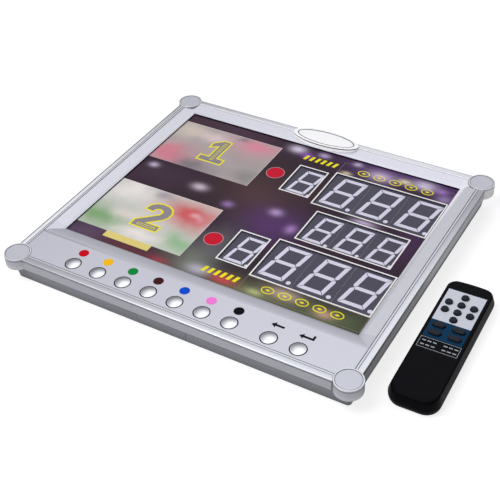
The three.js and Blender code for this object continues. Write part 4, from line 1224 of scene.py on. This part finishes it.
def layer(geometry, number):
    return segments.add("GeometryNodeStoreNamedAttribute", {"data_type": "INT", "domain": "FACE"}, {
        "Geometry": geometry, "Name": "layer", "Value": number,
    })


module_gap, film_inset, film_depth, film_edge = 0.3 * mm, 0.35 * mm, 0.4 * mm, 0.05 * mm
housing_top, housing_edge = -0.06 * mm, 0.15 * mm
module_width = given["Pitch"] - module_gap
one_module = segments.joined(
    layer(laid(segments.joined(bars, point), given["Shift"]), 2),
    layer(plate(
        module_width - film_inset * 2, given["Height"] - film_inset * 2, -film_depth, 0.0, film_edge,
    ), 1),
    layer(plate(module_width, given["Height"], 0 - given["Depth"], housing_top, housing_edge), 0),
)
module_places = segments.line(given["Count"], given["Place"], segments.vector(given["Pitch"]))
segments.end(segments.copies(module_places, one_module), ["Housing", "Film", "Resin"])

large = {
    "Height": 70, "Digit_Width": 31.0, "Digit_Height": 54.8, "Bar": 5.0, "Gap": 0.45, "Point": 2.8,
    "Point_Clearance": 3.9, "Pitch": 47.6,
}
medium = {
    "Height": 56, "Digit_Width": 24.8, "Digit_Height": 45.4, "Bar": 4.1, "Gap": 0.42, "Point": 2.2,
    "Point_Clearance": 2.6, "Pitch": 38.6,
}
for name, sizes, shift, nodes in (
    ("score_a", large, (0.3, 2.3, 0), [f"digit_score_a_{i}" for i in (1, 2, 3)]),
    ("score_b", large, (0.3, 2.3, 0), [f"digit_score_b_{i}" for i in (1, 2, 3)]),
    ("break", medium, (2.1, 0.4, 0), [f"digit_break_{i}" for i in (1, 2, 3)]),
    ("frames_a", medium, (2.1, 0.4, 0), ["digit_frames_a"]),
    ("frames_b", medium, (2.1, 0.4, 0), ["digit_frames_b"]),
):
    low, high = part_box(nodes[0])
    display = segments.grow(
        f"display_{name}", Count=len(nodes), Depth=module_depth * mm, Relief=bar_relief * mm,
        Slant=math.tan(digit_slant), Shift=metres(shift),
        Place=[(low.x + high.x) / 2, (low.y + high.y) / 2, module_face_z * mm],
        Housing=module_housing.material, Film=module_film.material, Resin=milky_resin.material,
        **{label: value * mm for label, value in sizes.items()},
    )
    display.data.attributes.remove(display.data.attributes["layer"])
    wear(display, "display_module", case, *nodes)


# Turn lights
# Two round diffusers of red acrylic in holes of the sheet. Each is held under the sheet by a flange and
# stands over a lamp on the board.
light_radius, light_flange, light_foot_z, light_rim_z, light_crown = 10.25, 11.75, 15.5, 29.2, 0.3
light_flange_low, light_flange_high, dome_reach = 26.3, 27.8, 9.8
red_acrylic = Finish("red_acrylic", Specular_IOR_Level=0.08).surface(
    "#d80f30", "#c60a28", (0.25, 0.4), 0.5, 0.015, cloud=5, rubbed="#ee5068", edge=0.5,
)
for node, (x, y) in zip(("turn_light_a", "turn_light_b"), light_places):
    lens = turned(f"{node}_piece", round_outline(
        (0, light_foot_z), (light_radius, light_foot_z), (light_radius, light_flange_low),
        (light_flange, light_flange_low, 0.2), (light_flange, light_flange_high, 0.2),
        (light_radius, light_flange_high), (light_radius, light_rim_z, 0.4),
        *[(dome_reach * s, light_rim_z + light_crown * (1 - s * s)) for s in (0.95, 0.8, 0.6, 0.3, 0.0)],
    ), (x, y, 0), 64, red_acrylic)
    wear(lens, "red_diffuser", case, node)


# Boards and receiver
# Two glass-fibre boards with green solder mask on the tray's bosses, with black switches on the key board,
# and the infrared receiver in black resin.
switch_low_z, switch_back_y = 16.3, -140
mask_green = Finish("mask_green", Specular_IOR_Level=0.5)
mask_green.gloss((0.25, 0.4), 0.4, 0.01, cloud=20)
_, board_y, board_z = mask_green.axes()
mask_green.lay(mask_green.add("ShaderNodeTexBrick", {"offset": 0.35}, {
    "Vector": mask_green.place, "Scale": 90.0, "Mortar Size": 0.012, "Color1": paint("#1d5b34"),
    "Color2": paint("#1a5230"), "Mortar": paint("#2f7a49"),
}))
mask_green.tint(((board_z > switch_low_z) * (board_y < switch_back_y), "#17171a"))
for node in ("display_board", "key_board"):
    repaint(node, mask_green)
filter_resin = Finish("filter_resin", Specular_IOR_Level=0.5).surface(
    "#1c1420", "#120d16", (0.12, 0.25), 0.4, 0.01, cloud=3,
)
wear(dressed("receiver", filter_resin, 0.6, 3), "infrared_filter", case, "receiver")


# Badge
# An oval white dish across the back rail, with a blank white oval plate pressed into its recess. Its wall
# reaches down to the bezel in front.
rim_x, rim_y, recess_x, recess_y, plate_x, plate_y = 45.0, 16.0, 38.9, 13.0, 38.0, 12.1
badge_foot_z, badge_floor_z, badge_rim_z = 34.1, 35.0, 35.9
badge_low, badge_high = box_of("badge_dish")
badge_middle = ((badge_low.x + badge_high.x) / 2, (badge_low.y + badge_high.y) / 2, 0)
# The badge's glow is painted light; the white dish is no lamp
badge_white = Finish(
    "badge_white", Specular_IOR_Level=1.0, Coat_Weight=0.6, Emission_Strength=0.42,
).surface("#ffffff", "#fafafc", (0.2, 0.3), 0.8, 0.002, cloud=40)
# Painted shade: a dark line runs round the recess, and another below the rim. Painted light: the badge
# glows a little all over, and the wall under the rim glows most
badge_x, badge_y, badge_z = badge_white.axes()
badge_x, badge_y = badge_x - badge_middle[0], badge_y - badge_middle[1]
oval_share = ((badge_x / recess_x) ** 2 + (badge_y / recess_y) ** 2) ** 0.5
oval_steepness = ((badge_x / recess_x ** 2) ** 2 + (badge_y / recess_y ** 2) ** 2) ** 0.5
within_oval = (1 - oval_share) * oval_share / oval_steepness
on_rim_side = oval_share > 1.1
under_edge = between(badge_z, badge_foot_z + 0.1, badge_rim_z - 0.4) * on_rim_side
badge_white.tint(((between(within_oval, -0.1, 1.3) * 0.85 + under_edge * 0.9).clamp(), "#3e3f47"))
on_wall = (badge_z < badge_foot_z + 0.1) * on_rim_side
least_painted_glow = 0.28
badge_white.put("Emission Color", badge_white.blend(
    least_painted_glow + on_wall * (1 - least_painted_glow), (0, 0, 0, 1), badge_white.colour,
))
dish = turned("badge_dish_piece", outline(
    (0, 0, badge_foot_z), (rim_x - 1.2, rim_y - 1.2, badge_foot_z), (rim_x, rim_y, badge_foot_z),
    (rim_x, rim_y, badge_foot_z + 0.05), (rim_x, rim_y, badge_rim_z, 0.8),
    (recess_x, recess_y, badge_rim_z, 0.4), (recess_x, recess_y, badge_floor_z), (0, 0, badge_floor_z),
), badge_middle, 120, badge_white)
# In front the outer ring of its underside is let down to just above the bezel's dish
for vertex in dish.data.vertices:
    place = vertex.co / mm
    away = math.hypot((place.x - badge_middle[0]) / rim_x, (place.y - badge_middle[1]) / rim_y)
    if place.z < badge_foot_z + 0.02 and away > 0.995 and place.y < bezel_edge[3]:
        way_in = (bezel_edge[3] - place.y) / (bezel_edge[3] - window[3])
        for (_, start_way, start_fall), (_, end_way, end_fall) in zip(dish_rings, dish_rings[1:]):
            if start_way <= way_in <= end_way:
                fall = start_fall + (end_fall - start_fall) * (way_in - start_way) / (end_way - start_way)
                vertex.co.z = (bezel_top_z - fall * dish_depth + 0.05) * mm
wear(dish, "badge_white", case, "badge_dish")
blank_plate = turned("badge_plate_piece", outline(
    (0, 0, badge_floor_z + 0.15), (plate_x, plate_y, badge_floor_z + 0.15),
    (plate_x, plate_y, badge_rim_z - 0.25, 0.2), (25, 8, badge_rim_z - 0.18), (0, 0, badge_rim_z - 0.14),
), badge_middle, 120, badge_white)
wear(blank_plate, "badge_white", case, "badge_plate")


# Remote control
# A black plastic handset of two shells that meet at a level seam, with a sliding battery cover underneath.
# It lies loose on the table beside the scoreboard, turned a little.
remote_middle, remote_turn = (256.9, -69.7, 0), math.radians(1.4)
remote_place = Matrix.Translation(metres(remote_middle)) @ Matrix.Rotation(remote_turn, 4, "Z")
remote_half_x, remote_half_y, remote_bow = 27.2, 89.9, 1.8
remote_tail, remote_head = 16.5, 12.0
remote_parting, remote_top, remote_wall = 9.0, 19.3, 1.8
remote_draft, remote_edge, remote_slope, remote_sole = 2.2, 2.6, 3.0, 3.4


def arc(x, y, radius, start, sweep, steps):
    """Points of an arc round a centre, that turns left from an angle in degrees."""
    turns = [math.radians(start + sweep * step / steps) for step in range(steps + 1)]
    return [(x + radius * math.cos(turn), y + radius * math.sin(turn)) for turn in turns]


def remote_ring(height, inset, tail_inset=None, steps=12):
    """The handset's outline at one height, drawn in all round and by an inset of its own at the tail."""
    tail_inset = inset if tail_inset is None else tail_inset
    tail, head = remote_tail - inset, remote_head - inset
    side, low, high = remote_half_x - inset, tail_inset - remote_half_y, remote_half_y - inset
    head_line = [((side - head) * (1 - step / steps), high) for step in range(1, 2 * steps)]
    points = [
        *arc(side - tail, low + tail, tail, -90, 90, steps),
        *arc(side - head, high - head, head, 0, 90, steps),
        *head_line,
        *arc(head - side, high - head, head, 90, 90, steps),
        *arc(tail - side, low + tail, tail, 180, 90, steps),
    ]
    bow = [remote_bow * (1 - (x / side) ** 2) if y > 0 else 0 for x, y in points]
    return [(x, y + out, height) for (x, y), out in zip(points, bow)]


def carved(name, whole, cutters, finish, rounding=0.0, kept=()):
    """A shape less its cutters and within the kept shapes, with its edges rounded. It is laid in the
    remote's place."""
    draft = built(f"{name}_draft", [whole], finish)
    helpers = []
    for operation, shapes in (("DIFFERENCE", cutters), ("INTERSECT", kept)):
        for shape in shapes:
            helpers.append(built(f"{name}_cutter_{len(helpers)}", [shape], finish))
            cut(draft, helpers[-1], operation)
    if rounding:
        round_off(draft, rounding, 2, 38)
    made = link(name, settled(draft))
    for helper in helpers:
        bpy.data.objects.remove(helper)
    made.data.transform(remote_place)
    made.data.shade_smooth()
    made.data.set_sharp_from_angle(angle=math.radians(38))
    return made


def oblong(half_x, half_y, x, y, steps=20):
    """The outline of a key: a circle, or a bar with round ends."""
    straight = max(half_x - half_y, 0)
    return [
        *arc(x + straight, y, half_y, -90, 180, steps), *arc(x - straight, y, half_y, 90, 180, steps),
    ]


def at_height(points, height):
    return [(x, y, height) for x, y in points]


remote_black = Finish("remote_black", Specular_IOR_Level=0.06).surface(
    "#08080e", "#040408", (0.28, 0.4), 0.35, 0.02, cloud=24, rubbed="#1f1f24", edge=0.4,
)

row_pitch, key_gap = 12.1, 0.3
round_half, round_column, pill_half_x, pill_half_y, pill_column = 3.9, 13.5, 6.8, 3.5, 10.6
first_round_y, first_pill_y = remote_half_y - 25.9, remote_half_y - 75.1
round_spots = [(0, step) for step in range(4)] + [
    (x, step) for x in (-round_column, round_column) for step in (1, 2)
]
pill_spots = [(x, step) for x in (-pill_column, pill_column) for step in (0, 1)]
remote_keys = [
    (f"remote_key_{i + 1}", round_half, round_half, x, first_round_y - step * row_pitch)
    for i, (x, step) in enumerate(round_spots)
] + [
    (f"remote_pill_{i + 1}", pill_half_x, pill_half_y, x, first_pill_y - step * row_pitch)
    for i, (x, step) in enumerate(pill_spots)
]

# The upper shell's shoulder is a quarter round that slopes more at the tail
roof_z = remote_top - remote_wall
shoulder_steps = 7
shoulder = []
for step in range(shoulder_steps + 1):
    turn = math.pi / 2 * step / shoulder_steps
    height = remote_top - remote_edge * (1 - math.sin(turn))
    drawn_in = remote_draft + remote_edge * (1 - math.cos(turn))
    shoulder.append(remote_ring(height, drawn_in, drawn_in + remote_slope * math.sin(turn) ** 2))
room_draft = remote_wall + remote_draft
upper_room = skin([
    remote_ring(remote_parting - 0.7, remote_wall),
    remote_ring(roof_z, room_draft + remote_edge / 3, room_draft + remote_slope),
])
key_holes = [
    slab(oblong(half_x + key_gap, half_y + key_gap, x, y), roof_z - 1, remote_top + 1)
    for _, half_x, half_y, x, y in remote_keys
]
emitter_z, emitter_radius, emitter_back, emitter_tip = 14.8, 2.5, 82.5, 90.5
hole_radius = emitter_radius + 0.3
emitter_hole = skin([
    [(x, y, emitter_z + z) for x, z in round_points(hole_radius, hole_radius, 32)]
    for y in (emitter_back - 0.5, emitter_tip + 4.5)
])
wear(carved(
    "remote_upper", skin([remote_ring(remote_parting + 0.3, 0), *shoulder]),
    [upper_room, emitter_hole, *key_holes], remote_black, 0.22,
), "remote_black", "remote", "remote_upper_shell")

# The lower shell and its cover are cut from one hull that widens from the sole to the seam
hull = skin([
    remote_ring(height, remote_sole * (1 - math.sqrt(1 - (1 - height / remote_parting) ** 2)))
    for height in (0.0, 0.4, 1.1, 2.2, 3.7, 5.5, 7.4, remote_parting)
])
lower_room = skin([
    remote_ring(remote_wall, remote_sole + remote_wall / 2), remote_ring(remote_parting + 1, remote_wall),
])
cover_half, cover_tail, cover_head, cover_gap = 17.0, -95, -31.9, 0.3
cover_space = slab(
    box_points(-cover_half, cover_half, cover_tail, cover_head), -1, remote_wall + cover_gap,
)
wear(carved(
    "remote_lower", hull, [lower_room, cover_space], remote_black, 0.25,
), "remote_black", "remote", "remote_lower_shell")

cover_side = cover_half - cover_gap
cover_room = slab(
    box_points(-cover_side, cover_side, cover_tail, cover_head - cover_gap), -1, remote_wall,
)
grip_cuts = [slab(box_points(-9, 9, y, y + 1.3), -1, 0.5) for y in (-48.0, -45.2, -42.4, -39.6)]
wear(carved(
    "remote_cover", hull, grip_cuts, remote_black, 0.2, kept=[cover_room],
), "remote_black", "remote_battery_cover", "remote_battery_cover")


# Keys of the remote
# Twelve keys of dark silicone rubber. Each has a flange under the shell and a stem down to the board.
key_rubber = Finish("key_rubber", Specular_IOR_Level=0.15).surface(
    "#2b2e36", "#202229", (0.5, 0.7), 0.25, 0.02, cloud=5, rubbed="#43464f", edge=0.5,
)
rubber_stem, rubber_flange, flange_low, flange_top = 2, 0.9, roof_z - 1.3, roof_z - 0.3
rubber_crown = ((1.0, 0.0), (0.6, 0.1), (0.3, 0.32), (0.1, 0.7), (0.0, 1.3))
for node, half_x, half_y, x, y in remote_keys:
    low, high = box_of(node)
    stem = oblong(rubber_stem, rubber_stem, x, y)
    flange = oblong(half_x + rubber_flange, half_y + rubber_flange, x, y)
    rings = [at_height(points, height) for points, height in (
        (stem, low.z), (stem, flange_low), (flange, flange_low), (flange, flange_top),
        (oblong(half_x, half_y, x, y), flange_top),
        *((oblong(half_x - inset, half_y - inset, x, y), high.z - under) for under, inset in rubber_crown),
    )]
    wear(carved(f"{node}_piece", skin(rings), [], key_rubber), "key_rubber", node, node)


# Prints on the remote
# A pale field and a blue one round the keys, and a fine pale frame below them with plain bars in it.
field_half, field_high, fine_high, key_margin = 20.7, remote_top + 0.12, remote_top + 0.08, 0.45
pale_field = ink_of("pale_field_ink", "#dfe2ec", "#d5d8e3")
blue_field = ink_of("blue_field_ink", "#063c5e", "#04314f")
for name, finish, low_y, high_y, kind in (
    ("pale_field", pale_field, 21.8, 72.2, "remote_key"),
    ("blue_field", blue_field, -5.0, 21.8, "remote_pill"),
):
    openings = [
        slab(oblong(half_x + key_margin, half_y + key_margin, x, y), roof_z, field_high + 1)
        for node, half_x, half_y, x, y in remote_keys if node.startswith(kind)
    ]
    field = slab(box_points(-field_half, field_half, low_y, high_y), remote_top, field_high)
    wear(carved(name, field, openings, finish), "printed_sheet", "remote")

fine_ink = ink_of("fine_ink", "#b9bdc4", "#a8acb4")
frame_line = built("remote_frame_line", [
    ribbon(box_points(-field_half, field_half, -20.6, -6.4), 0.45, remote_top, fine_high),
], fine_ink)
plain_bar = [
    slab(box_points(x - 2.0, x + 2.0, y - 0.7, y + 0.7), remote_top, fine_high)
    for x in (0.0, 22.5) for y in (0.0, -6.0)
]
plain_bars = row("remote_bars", plain_bar, 3, (-16.4, -10.6, 0), (5.6, 0, 0), fine_ink)
for print_made in (frame_line, plain_bars):
    print_made.data.transform(remote_place)
    wear(print_made, "printed_sheet", "remote")


# Inside the remote
# A board with its green mask, two dry cells in a printed jacket, and the emitter's dark lens in the head.
# Cells and lens are turned upright and laid down along the remote.
repaint("remote_board", mask_green)
laid_down = Matrix.Rotation(math.radians(-90), 4, "X")
cell_half, cell_radius, cell_end, cell_nub = 22.25, 5.25, 4.4, 2.0
jacket = Finish("battery_jacket", Metallic=0.3, Specular_IOR_Level=0.5).surface(
    "#2c3f6e", "#22335c", (0.25, 0.4), 0.3, 0.006, cloud=8, rubbed="#aab0bd", edge=0.4,
)
for node in ("remote_battery_1", "remote_battery_2"):
    low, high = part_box(node)
    cell = turned(f"{node}_piece", round_outline(
        (0, -cell_half), (cell_end, -cell_half), (cell_end, 0.35 - cell_half),
        (cell_radius, 0.35 - cell_half, 0.4), (cell_radius, cell_half - 0.95, 0.5),
        (cell_nub, cell_half - 0.95), (cell_nub, cell_half, 0.3), (0, cell_half),
    ), (0, 0, 0), 40, jacket)
    cell.data.transform(
        Matrix.Translation((low + high) / 2) @ Matrix.Rotation(remote_turn, 4, "Z") @ laid_down
    )
    wear(cell, "battery_jacket", "remote", node)
emitter = turned("remote_emitter_piece", round_outline(
    (0, emitter_back), (emitter_radius, emitter_back), (emitter_radius, emitter_tip, 1.4), (0, emitter_tip),
), (0, 0, 0), 32, filter_resin)
emitter.data.transform(remote_place @ Matrix.Translation((0, 0, emitter_z * mm)) @ laid_down)
wear(emitter, "infrared_filter", "remote", "remote_emitter")
